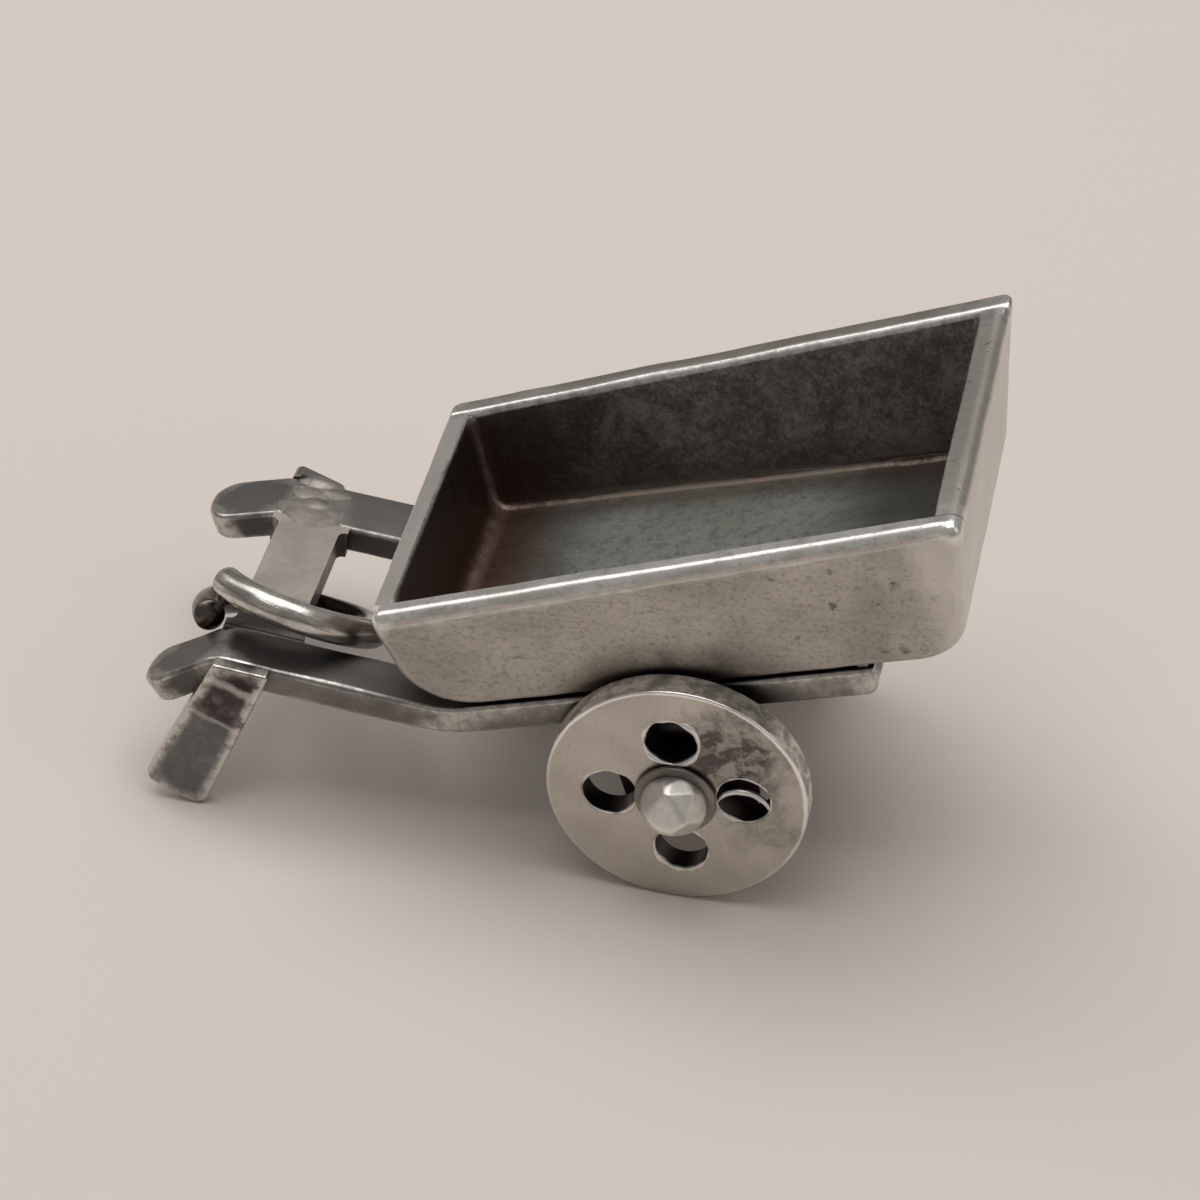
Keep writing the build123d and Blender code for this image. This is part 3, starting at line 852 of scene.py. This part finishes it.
@dataclass(frozen=True)
class LegSilver(Silver):
    """A leg's silver: a dark slot under its top, painted shade in brown down to the kink and grey below, with light
    ridges painted as highlights.
    """

    # Brown above the kink and grey below: painted shade of the leg's two parts, which face different ways.
    brown: Rgb = (0.07, 0.05, 0.05)
    grey: Rgb = (0.13, 0.138, 0.135)
    # Painted highlight on the solder and kink ridges.
    ridge: Rgb = (0.50, 0.48, 0.455)
    root: Triple = (-11.84, 0.0, 5.19)
    angle: float = 42.0
    kink: float = 2.1
    kink_line: Pair = (0.09, 0.5)
    solder: float = 0.68
    solder_line: Pair = (0.16, 0.7)
    slot: float = 0.36
    slot_line: Pair = (0.2, 0.8)
    half_width: float = 0.79
    widening: float = 0.041
    length: float = 5.1
    border: float = 0.17

    def worn(self, draft: Draft, coat: Coat) -> Coat:
        """Adds the two fields of painted shade, the lines across the leg and its light border."""
        slant = math.radians(self.angle)
        root = STANCE.point(*self.root)
        along = draft.height(root, STANCE.direction(-math.sin(slant), 0, -math.cos(slant)))
        across = draft.height(root, STANCE.direction(math.cos(slant), 0, -math.sin(slant)))
        blotch = draft.noise(0.4, 5.0, 0.65)
        uneven = along.about(draft.noise(0.7, 4.0), 0.5)
        # Painted shade: brown above the kink, grey below.
        colour = draft.layers(
            self.brown,
            (uneven.band(self.kink - 0.35, self.kink + 0.35), self.grey),
            (blotch.band(0.42, 0.7) * 0.4, coat.colour),
        )
        # A dark line at the slot, and light lines painted as highlights on the solder and kink ridges.
        for place, (width, share), shade in (
            (self.slot, self.slot_line, self.deep),
            (self.solder, self.solder_line, self.ridge),
            (self.kink, self.kink_line, self.ridge),
        ):
            colour = draft.layers(colour, (uneven.off(place).band(width * 1.5, width * 0.2) * share, shade))
        from_side = self.half_width + along * self.widening - abs(across)
        from_edge = from_side.least(self.length - along).about(blotch, 0.5)
        border = from_edge.band(self.border + 0.2, self.border - 0.12)
        edge = border.most(coat.edge) * blotch.band(0.74, 0.48) * 0.8
        return replace(coat, colour=colour, edge=edge)


@dataclass(frozen=True)
class ShaftSilver(Silver):
    """A shaft's silver, dark, with painted light in beige beside the cross-bar and painted shade under the ring and
    on the handles' sides.
    """

    # Painted light: the bar's lit beige carried onto the left shaft's top.
    beige: Rgb = (0.40, 0.37, 0.335)
    bar_middle: Triple = (-11.70, 0.0, 5.13)
    reach: float = 0.8

    def worn(self, draft: Draft, coat: Coat) -> Coat:
        """Adds painted light beside the bar on the left shaft, and painted shade on the right one beside the bar and
        on the handles' sides.
        """
        along = draft.height(STANCE.point(*self.bar_middle), STANCE.along_slope())
        along = along.about(draft.noise(0.8, 5.0, 0.6), 1.2)
        up = draft.dot(draft.normal, STANCE.off_slope()).band(0.6, 0.9)
        left = draft.left()
        near_bar = left.band(1.5, 2.5) * left.band(5.0, 2.9)
        # Painted light in beige on the left shaft's upward faces beside the bar.
        bar_light_on_shaft = abs(along).band(self.reach + 0.4, self.reach - 0.4) * up * near_bar
        # Painted shade on the right shaft's top beside the bar, under the ring.
        shaft_shade = along.band(-1.2, -0.5) * left.band(-1.8, -2.6)
        shaft_shade = shaft_shade * along.band(1.2, 3.2).lerp(0.62, 0.1) * up
        # Painted shade on the handles' sides, which do not face up.
        handle_side_shade = along.band(0.1, -0.9) * up.band(0.5, 0.0)
        shaft_shade = shaft_shade.most(handle_side_shade * 0.55)
        colour = draft.layers(coat.colour, (bar_light_on_shaft * 0.7, self.beige), (shaft_shade, self.deep))
        return replace(coat, colour=colour, edge=coat.edge * bar_light_on_shaft.lerp(1.0, 0.1))


@dataclass(frozen=True)
class BarSilver(Silver):
    """The cross-bar's silver: beige, but nearly black towards the right shaft, under the ring, and painted shade on
    its sides.
    """

    black_from: float = -1.35
    black_to: float = -1.9

    def worn(self, draft: Draft, coat: Coat) -> Coat:
        """Adds the black towards the right end, and painted shade on the sides."""
        black = draft.left().about(draft.noise(0.6, 5.0, 0.6), 0.5).band(self.black_from, self.black_to)
        level = draft.dot(draft.normal, STANCE.off_slope())
        # Painted shade on the bar's sides, which do not face up off the slope.
        black = black.most(level.band(0.6, 0.2) * 0.8)
        colour = draft.layers(coat.colour, (black * 0.95, self.deep))
        return replace(coat, colour=colour, edge=coat.edge * black.lerp(1.0, 0.4))


@dataclass(frozen=True)
class WireSilver(Silver):
    """The ring's wire: drawn, with fine lines along it, bright above and dark brown under the cross-bar."""

    shade: Rgb = (0.085, 0.07, 0.062)
    bar_top: Triple = (-12.665, 0.0, 5.55)
    shaded_side: Triple = (0.72, 0.3, -0.62)
    end_from: float = 7.7

    def worn(self, draft: Draft, coat: Coat) -> Coat:
        """Adds the drawn lines, and the shade under the bar, on the inner side and at the last end."""
        wire_place = draft.mark("wire_place", "Vector")
        inputs = {"Vector": wire_place, "Scale": 1.0, "Detail": 5.0, "Roughness": 0.65}
        drawn = draft.node("ShaderNodeTexNoise", "Fac", inputs)
        over_bar = draft.height(STANCE.point(*self.bar_top), STANCE.off_slope())
        under = over_bar.about(drawn, 0.5).band(0.1, -0.55)
        away = draft.dot(draft.normal, self.shaded_side).about(drawn, 0.8).band(0.15, 0.65)
        passed = draft.dot(wire_place, (0.0, 0.0, 1.0))
        dark = under.most(away * 0.8).most(passed.band(self.end_from, self.end_from + 0.8)) * 0.92
        colour = draft.layers(coat.colour, (drawn.band(0.48, 0.6) * 0.75, self.toned), (dark, self.shade))
        return Coat(colour, coat.rough.about(drawn, 0.25), coat.height + drawn * 3.0, coat.edge)


@dataclass(frozen=True)
class TableTop:
    """A plain pale table top in a warm grey."""

    colour: Rgb = (0.735, 0.67, 0.626)
    shade: Rgb = (0.715, 0.65, 0.606)
    rough: float = 0.9
    sheen: float = 0.2
    patch: float = 40.0

    def material(self) -> Material:
        """The finished material."""
        draft = Draft("table_top")
        colour = draft.layers(self.colour, (draft.noise(self.patch, 2.0), self.shade))
        return draft.finish({"Base Color": colour, "Roughness": self.rough, "Specular IOR Level": self.sheen})


TUB_SILVER = TubSilver(
    "tub_silver", clean=(0.56, 0.528, 0.485), toned=(0.24, 0.22, 0.196), toned_share=0.5, satin=0.34,
    grain=0.15, grain_depth=0.7, strokes=0.35, pit_share=0.45,
)
# The shafts' clean colour is darker than the bar's, partly as painted shade on faces that catch little light.
SHAFT_SILVER = ShaftSilver(
    "shaft_silver", clean=(0.21, 0.20, 0.19), toned=(0.10, 0.092, 0.088), toned_share=0.5, satin=0.38,
    bright=(0.62, 0.595, 0.555), deep=(0.03, 0.025, 0.024), deep_reach=1.4, pit_share=0.2, grain_depth=0.45,
)
LEG_SILVER = LegSilver(
    "right_leg_silver", clean=(0.30, 0.30, 0.29), toned=(0.11, 0.10, 0.10), toned_share=0.5, satin=0.34,
    bright=(0.68, 0.66, 0.615), deep=(0.03, 0.025, 0.025), patch=1.6, pit_share=0.2,
)
LEFT_LEG_SILVER = LegSilver(
    "left_leg_silver", clean=(0.24, 0.23, 0.22), toned=(0.11, 0.10, 0.095), toned_share=0.5, satin=0.4,
    bright=(0.36, 0.34, 0.315), deep=(0.10, 0.09, 0.085), brown=(0.23, 0.213, 0.197), patch=1.6, pit_share=0.2,
    root=(-11.96, 0.0, 5.24), angle=31.0, length=4.93, slot=-2.0,
)
# The bar's clean colour is lighter than the shafts', partly as painted light where its top catches the light.
BAR_SILVER = BarSilver(
    "bar_silver", clean=(0.52, 0.475, 0.42), toned=(0.28, 0.255, 0.23), toned_share=0.45, toned_depth=0.7, satin=0.42,
    patch=1.3, grain=0.16, grain_depth=0.4,
    deep=(0.035, 0.03, 0.03), edge_share=0.3, pit_share=0.1,
)
SOLDER_SILVER = Silver(
    "solder_silver", clean=(0.34, 0.313, 0.282), toned=(0.17, 0.157, 0.142), toned_share=0.5, toned_depth=0.75,
    satin=0.5, patch=0.7, pit_share=0.2, edge_share=0.0, corner_tone_and_shade=0.4,
)
WHEEL_SILVER = WheelSilver(
    "wheel_silver", clean=(0.60, 0.558, 0.508), toned=(0.36, 0.333, 0.30), toned_share=0.3, satin=0.37,
    tread=(0.88, 0.84, 0.77), tread_dark=(0.42, 0.385, 0.355), smoke=(0.085, 0.078, 0.075),
    brushed=(1.0, 1.0, 0.06), brush_turn=(0.0, 8.0, 0.0), pit_share=0.2, deep_reach=0.7, grain_depth=0.4,
)
# Darker than the wheels and rivets, partly as painted shade round the rivet heads.
WASHER_SILVER = Silver(
    "washer_silver", clean=(0.36, 0.333, 0.305), toned=(0.15, 0.134, 0.122), toned_share=0.6, toned_depth=0.8,
    satin=0.36, edge_share=0.0,
)
RIVET_SILVER = Silver(
    "rivet_silver", clean=(0.86, 0.835, 0.79), toned=(0.50, 0.465, 0.43), toned_share=0.35, satin=0.38, gloss=0.24,
    patch=0.7, pit_share=0.25, relief=6.0, edge_share=0.0, grain_depth=0.4,
)
WIRE_SILVER = WireSilver(
    "wire_silver", clean=(0.72, 0.695, 0.65), toned=(0.27, 0.25, 0.232), toned_share=0.35, toned_depth=0.7,
    satin=0.2, gloss=0.16, patch=1.0, pit_share=0.08, relief=4.5, deep_reach=1.6, edge_share=0.0,
)


def dress(piece: Piece, material: Material) -> None:
    """Gives a piece one material all over."""
    piece.data.materials.clear()
    piece.data.materials.append(material)


def stand_for(piece: Piece, body: str, slot: str, *nodes: str) -> None:
    """Lets a piece ride on a body and stand for CAD nodes.

    Args:
        piece: The finished piece.
        body: The body it moves with.
        slot: The record's material slot; not used.
        nodes: The CAD nodes that it stands for.
    """
    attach(piece, body)
    if nodes:
        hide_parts(*nodes)
    LOG.info("%s rides on %s with %d faces", piece.name, body, len(piece.data.polygons))


def placed(axes: Sequence[Vector], origin: Vector) -> Matrix:
    """The place with the given three axes and origin."""
    place = Matrix(axes).transposed().to_4x4()
    place.translation = origin
    return place


@dataclass(frozen=True)
class SheetWork:
    """How sheet is worked by hand: how finely it is divided, each round's dents, and how far edges are rubbed."""

    step: float
    dents: tuple[Pair, ...]
    spread: float = 0.2
    rubs: int = 2

    def work(self, node: str, slot: str) -> Piece:
        """Works a copy of a chassis node so that its flats and edges are a little uneven.

        Args:
            node: The CAD node that the copy stands for.
            slot: The record's material slot.

        Returns:
            The worked copy.
        """
        sheet = Bench.sheet_copy(node, f"worked_{node}")
        for direction in (STANCE.direction(1, 0, 0), STANCE.direction(0, 0, 1), LEFTWARD):
            Bench.score(sheet, direction, self.step * MM)
        for size, depth in self.dents:
            Bench.hammer(sheet, size, depth)
        Bench.mark_wear(sheet, spread=self.spread, rubs=self.rubs)
        Bench.smooth(sheet, Shading.SHEET)
        stand_for(sheet, "chassis", slot, node)
        return sheet


@dataclass
class Tub:
    """The open tub: a bent trough and two canted side plates, worked by hand."""

    nodes: tuple[str, ...] = ("tub_trough", "right_tub_side", "left_tub_side")
    sheet: SheetWork = SheetWork(0.42, ((3.0, 0.07), (1.0, 0.035)))

    def build(self) -> list[Piece]:
        """Works the plates: wide dents first, then short ripples."""
        return [self.sheet.work(node, "satin_silver_tub") for node in self.nodes]

    def dress(self, plates: Sequence[Piece]) -> None:
        """Gives the plates their silver."""
        material = TUB_SILVER.material()
        for plate in plates:
            dress(plate, material)


@dataclass
class Undercarriage:
    """Shafts, cross-bar, legs and the axle's bracket, with the solder that has run over the left joint.

    A drop of solder is given by its place down the slope, to the left and above it, and by its half length, width
    and height.
    """

    nodes: tuple[str, ...] = ("right_shaft", "left_shaft", "cross_bar", "right_leg", "left_leg", "axle_bracket")
    strip: SheetWork = SheetWork(0.5, ((1.6, 0.05),), 0.35, 4)
    slope_top: Triple = (-12.6626, 0.0, 5.55)
    drops: tuple[tuple[Triple, Triple], ...] = (
        ((1.0, 3.2, -0.3), (1.75, 1.6, 0.34)),
        ((0.95, 3.5, -0.14), (0.6, 0.45, 0.22)),
        ((0.7, 4.0, -0.2), (0.9, 0.62, 0.28)),
        ((0.3, 4.5, -0.12), (0.5, 0.42, 0.38)),
        ((0.85, 4.5, -0.18), (0.8, 0.42, 0.32)),
        ((1.2, 4.2, -0.2), (1.0, 0.42, 0.27)),
    )
    solder_root: float = 0.12
    solder_grain: float = 0.03
    solder_rubs: int = 6
    solder_dents: Pair = (0.45, 0.03)

    def solder(self) -> Piece:
        """The solder over the bar's left end and the left leg's top: some flat drops that have run together."""
        up = STANCE.off_slope()
        place = placed((STANCE.along_slope(), LEFTWARD, up), STANCE.point(*self.slope_top))
        made = []
        for middle, half_size in self.drops:
            drop = Bench.add(
                f"drop_{len(made)}", bpy.ops.mesh.primitive_uv_sphere_add, segments=32, ring_count=16, radius=MM
            )
            drop.matrix_world = place @ Matrix.LocRotScale(Vector(middle) * MM, None, Vector(half_size))
            Bench.settle(drop)
            Bench.cut(drop, place.translation - up * self.solder_root * MM, -up, drop=True)
            made.append(drop)
        solder = Bench.join(made, "left_solder")
        Bench.melt(solder, self.solder_grain, self.solder_rubs)
        Bench.hammer(solder, *self.solder_dents)
        Bench.mark_wear(solder)
        Bench.smooth(solder, Shading.ROUND)
        stand_for(solder, "chassis", "toned_silver_frame")
        return solder

    def build(self) -> dict[str, Piece]:
        """Works the strips and lets the solder run."""
        strips = {node: self.strip.work(node, "toned_silver_frame") for node in self.nodes}
        strips["solder"] = self.solder()
        return strips

    def dress(self, strips: dict[str, Piece]) -> None:
        """Gives the strips their silver."""
        shafts = SHAFT_SILVER.material()
        special = {
            "right_leg": LEG_SILVER, "left_leg": LEFT_LEG_SILVER, "cross_bar": BAR_SILVER, "solder": SOLDER_SILVER
        }
        for node, strip in strips.items():
            dress(strip, special[node].material() if node in special else shafts)


@dataclass
class RunningGear:
    """Wheels with burred holes on a hammered rivet axle.

    A blow on a rivet head is given by its direction on the left side and its depth.
    """

    head_radius: float = 0.92
    head_lift: float = 0.15
    head_seat: float = 0.05
    head_spread: Triple = (1.04, 1.0, 1.03)
    head_grain: float = 0.03
    head_rubs: int = 14
    blows: tuple[tuple[float, float, float, float], ...] = (
        (-0.08, 0.9, 0.32, 0.24), (0.25, 0.35, 0.9, 0.17), (0.84, 0.46, 0.36, 0.2), (-0.72, 0.42, 0.55, 0.2),
        (0.0, 0.55, -0.83, 0.18), (0.6, 0.7, -0.4, 0.17), (0.42, 0.72, 0.6, 0.16),
    )
    rod_radius: float = 0.55
    washer_outer: float = 5.78
    wheel_outer: float = 5.58
    hole_circle: float = 1.925
    hole_radius: float = 0.775
    hole_count: int = 4
    right_turn: float = -11.0
    left_turn: float = -24.0
    lip_radius: float = 0.06
    lip_sizes: tuple[float, ...] = (0.8, 1.1, 0.45, 1.0)
    lip_overhang: float = 0.4
    lip_sink: float = 0.05
    lip_dents: Pair = (0.6, 0.19)
    burr_radius: float = 0.85
    burr_drop: float = 0.6
    burr_reach: float = 0.3
    burr_depth: float = 0.09
    burr_thick: float = 0.085
    burr_dents: Pair = (0.5, 0.08)

    def head(self, side: Side) -> Piece:
        """One rivet head: a ball cut off at the washer, flattened here and there by the hammer."""
        centre = STANCE.point(0, side.value * (self.washer_outer + self.head_lift), 0)
        head = Bench.add(
            f"{side.word}_head", bpy.ops.mesh.primitive_uv_sphere_add, segments=56, ring_count=32,
            radius=self.head_radius * MM, location=centre, rotation=ACROSS,
        )
        head.scale = self.head_spread
        Bench.settle(head)
        for x, y, z, depth in self.blows:
            direction = Vector((x, y * side.value, z)).normalized()
            Bench.cut(head, centre + direction * (self.head_radius - depth) * MM, direction, drop=True)
        foot = STANCE.point(0, side.value * (self.washer_outer - self.head_seat), 0)
        Bench.cut(head, foot, LEFTWARD * -side.value, drop=True)
        with Bench.editing(head, "VERT"):
            bpy.ops.mesh.convex_hull()
        Bench.melt(head, self.head_grain, self.head_rubs)
        return head

    def axle(self) -> Piece:
        """The rod with a head at each end."""
        rod = Bench.add(
            "axle_rod", bpy.ops.mesh.primitive_cylinder_add, vertices=40, radius=self.rod_radius * MM,
            depth=2 * self.washer_outer * MM, location=STANCE.point(0, 0, 0), rotation=ACROSS,
        )
        Bench.settle(rod)
        axle = Bench.join([rod, self.head(Side.RIGHT), self.head(Side.LEFT)], "riveted_axle")
        Bench.smooth(axle, Shading.ROUND)
        return axle

    def hole(self, turn: float, left: float) -> Vector:
        """The middle of a hole at a turn round the axle, in degrees, and a place to the cart's left."""
        angle = math.radians(turn)
        return STANCE.point(self.hole_circle * math.cos(angle), left, self.hole_circle * math.sin(angle))

    def burr(self, turn: float) -> Piece:
        """The burr in the right wheel's first hole: a thin arc of metal from wall to wall."""
        hole = self.hole(turn, -self.wheel_outer)
        burr = Bench.add(
            "right_burr", bpy.ops.mesh.primitive_torus_add, major_radius=self.burr_radius * MM,
            minor_radius=self.burr_thick * MM, major_segments=96, minor_segments=12,
            location=hole + Vector((0.0, self.burr_depth, -self.burr_drop)) * MM, rotation=ACROSS,
        )
        Bench.settle(burr)
        Bench.cut(burr, hole - Vector((0.0, 0.0, self.burr_reach * MM)), Vector((0.0, 0.0, -1.0)), drop=True)
        Bench.hammer(burr, *self.burr_dents)
        return burr

    def lips(self, side: Side, turn: float) -> Piece:
        """The burred lips of one wheel's holes."""
        made = []
        out = side.value * (self.wheel_outer - self.lip_sink)
        for index in range(self.hole_count):
            lip = Bench.add(
                f"{side.word}_lip_{index}", bpy.ops.mesh.primitive_torus_add,
                major_radius=(self.hole_radius + self.lip_overhang * self.lip_radius) * MM,
                minor_radius=self.lip_radius * self.lip_sizes[index] * MM, major_segments=64, minor_segments=10,
                location=self.hole(turn + index * 360 / self.hole_count, out), rotation=ACROSS,
            )
            Bench.settle(lip)
            Bench.hammer(lip, *self.lip_dents)
            made.append(lip)
        if side is Side.RIGHT:
            made.append(self.burr(turn))
        lips = Bench.join(made, f"{side.word}_hole_lips")
        Bench.smooth(lips, Shading.ROUND)
        return lips

    def build(self) -> dict[str, Piece]:
        """Builds the axle and the wheels' lips."""
        gear = {"axle": self.axle()}
        stand_for(gear["axle"], "chassis", "bright_silver_axle", "axle")
        for side, turn in ((Side.RIGHT, self.right_turn), (Side.LEFT, self.left_turn)):
            lips = self.lips(side, turn)
            stand_for(lips, f"{side.word}_wheel", "bright_silver_axle")
            gear[f"{side.word}_lips"] = lips
        return gear

    def dress(self, gear: dict[str, Piece]) -> None:
        """Gives rivets, lips, washers and wheels their silver."""
        bright = RIVET_SILVER.material()
        wheel = WHEEL_SILVER.material()
        for piece in gear.values():
            dress(piece, bright)
        washer = WASHER_SILVER.material()
        for side in Side:
            dress(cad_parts[f"{side.word}_wheel"], wheel)
            dress(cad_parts[f"{side.word}_hub_washer"], washer)


@dataclass
class JumpRing:
    """The open ring of round wire round the cross-bar: one left-hand turn, sprung sideways."""

    origin: Triple = (-7.82769, -0.93035, 5.03528)
    first_end: Triple = (-0.723995, -0.537072, 0.43288)
    axis: Triple = (-0.144896, -0.495134, -0.856649)
    mean_radius: float = 2.42
    wire: float = 0.92
    offset: float = 1.17
    turn: float = 346.0
    end_dome: tuple[Pair, ...] = ((0.06, 0.05), (0.1, 0.06), (0.12, 0.05), (0.12, 0.03))
    line_count: float = 3.2
    line_length: float = 1.6
    steps: int = 150
    sides: int = 40

    def build(self) -> Piece:
        """Winds the wire from a circle and domes its two ends."""
        ring = Bench.add(
            "wire_ring", bpy.ops.mesh.primitive_circle_add, vertices=self.sides, radius=self.wire / 2 * MM,
            location=(self.mean_radius * MM, 0, 0), rotation=ACROSS,
        )
        Bench.settle(ring)
        Bench.modify(
            ring, "SCREW", angle=-math.radians(self.turn), screw_offset=self.offset * MM,
            steps=self.steps, render_steps=self.steps, axis="Z", use_merge_vertices=False,
        )
        with Bench.editing(ring, "EDGE"):
            bpy.ops.mesh.select_non_manifold(extend=False)
            bpy.ops.mesh.fill_holes(sides=0)
            bpy.ops.mesh.select_all(action="SELECT")
            bpy.ops.mesh.normals_make_consistent(inside=False)
        with Bench.editing(ring, "FACE"):
            bpy.ops.mesh.select_all(action="DESELECT")
            bpy.ops.object.mode_set(mode="OBJECT")
            for face in ring.data.polygons:
                face.select = len(face.vertices) > 4
            bpy.ops.object.mode_set(mode="EDIT")
            for inward, outward in self.end_dome:
                bpy.ops.mesh.inset(thickness=inward * MM, depth=outward * MM)
        self.mark_lines(ring)
        across = Vector(self.first_end)
        along = Vector(self.axis)
        ring.matrix_world = placed((across, along.cross(across), along), Vector(self.origin) * MM)
        Bench.settle(ring)
        Bench.smooth(ring, Shading.ROUND)
        stand_for(ring, "jump_ring", "polished_silver_ring", "jump_ring")
        return ring

    def mark_lines(self, ring: Piece) -> None:
        """Notes each vertex's place round the wire and along it, for the drawn lines."""
        places: list[float] = []
        for vertex in ring.data.vertices:
            x, y, z = (part / MM for part in vertex.co)
            passed = -math.atan2(y, x) % math.tau
            rise = z - self.offset * passed / math.radians(self.turn)
            round_wire = math.atan2(rise, math.hypot(x, y) - self.mean_radius)
            places += (math.cos(round_wire) * self.line_count, math.sin(round_wire) * self.line_count)
            places.append(passed * self.mean_radius / self.line_length)
        ring.data.attributes.new("wire_place", "FLOAT_VECTOR", "POINT").data.foreach_set("vector", places)

    def dress(self, ring: Piece) -> None:
        """Gives the wire its polish."""
        dress(ring, WIRE_SILVER.material())


@dataclass(frozen=True)
class Lamp:
    """A square soft lamp: its place, the point it faces and its side in metres, its power in watts, its colour."""

    name: str
    place: Triple
    aim: Triple
    size: float
    power: float
    colour: Rgb

    def hang(self) -> None:
        """Hangs the lamp."""
        light = bpy.data.lights.new(self.name, "AREA")
        light.shape = "SQUARE"
        light.size = self.size
        light.energy = self.power
        light.color = self.colour
        lamp = bpy.data.objects.new(self.name, light)
        lamp.location = self.place
        lamp.rotation_mode = "QUATERNION"
        lamp.rotation_quaternion = (Vector(self.aim) - Vector(self.place)).to_track_quat("-Z", "Y")
        bpy.context.scene.collection.objects.link(lamp)


@dataclass
class Studio:
    """The table top, the soft lamps and the camera: a large lamp overhead, a window at the left and a weak fill."""

    camera_place: Triple = (16.18994, -89.65661, 78.14025)
    camera_right: Triple = (0.978864, 0.200183, 0.041858)
    camera_up: Triple = (-0.156891, 0.603742, 0.781589)
    lens: float = 120.406
    sensor: float = 36.0
    clip: Pair = (0.005, 5.0)
    table_span: float = 0.9
    sky: Rgb = (0.285, 0.274, 0.262)
    lamps: tuple[Lamp, ...] = (
        Lamp("overhead", (-0.01, 0.035, 0.27), (0.0, 0.0, 0.0), 0.26, 0.51, (1.0, 0.985, 0.965)),
        Lamp("left_window", (-0.204, 0.09, 0.2), (0.0, 0.0, 0.008), 0.13, 0.085, (1.0, 0.99, 0.98)),
        Lamp("right_fill", (0.26, -0.05, 0.16), (0.0, 0.0, 0.008), 0.14, 0.04, (1.0, 0.97, 0.94)),
    )

    def table(self) -> None:
        """Lays the table top under the wheels."""
        table = Bench.add("table_top", bpy.ops.mesh.primitive_plane_add, size=self.table_span, location=(0, 0, 0))
        dress(table, TableTop().material())

    def lights(self) -> None:
        """Hangs the lamps in an evenly lit room."""
        for lamp in self.lamps:
            lamp.hang()
        world = bpy.data.worlds.new("room")
        world.use_nodes = True
        background = world.node_tree.nodes["Background"]
        background.inputs["Color"].default_value = (*self.sky, 1.0)
        background.inputs["Strength"].default_value = 1.0
        bpy.context.scene.world = world

    def camera(self) -> None:
        """Sets the camera where the photograph was taken from."""
        data = bpy.data.cameras.new("photo_camera")
        data.lens = self.lens
        data.sensor_width = self.sensor
        data.clip_start, data.clip_end = self.clip
        camera = bpy.data.objects.new("photo_camera", data)
        right = Vector(self.camera_right).normalized()
        up = Vector(self.camera_up).normalized()
        camera.matrix_world = placed((right, up, right.cross(up)), Vector(self.camera_place) * MM)
        bpy.context.scene.collection.objects.link(camera)
        bpy.context.scene.camera = camera

    def build(self) -> None:
        """Sets up the studio."""
        self.table()
        self.lights()
        self.camera()
        bpy.context.scene.view_settings.view_transform = "Standard"


def main() -> None:
    """Builds and dresses each sub-assembly, then sets up the studio."""
    logging.basicConfig(level=logging.INFO)
    tub = Tub()
    tub.dress(tub.build())
    undercarriage = Undercarriage()
    undercarriage.dress(undercarriage.build())
    gear = RunningGear()
    gear.dress(gear.build())
    ring = JumpRing()
    ring.dress(ring.build())
    Studio().build()


if __name__ == "__main__":
    main()
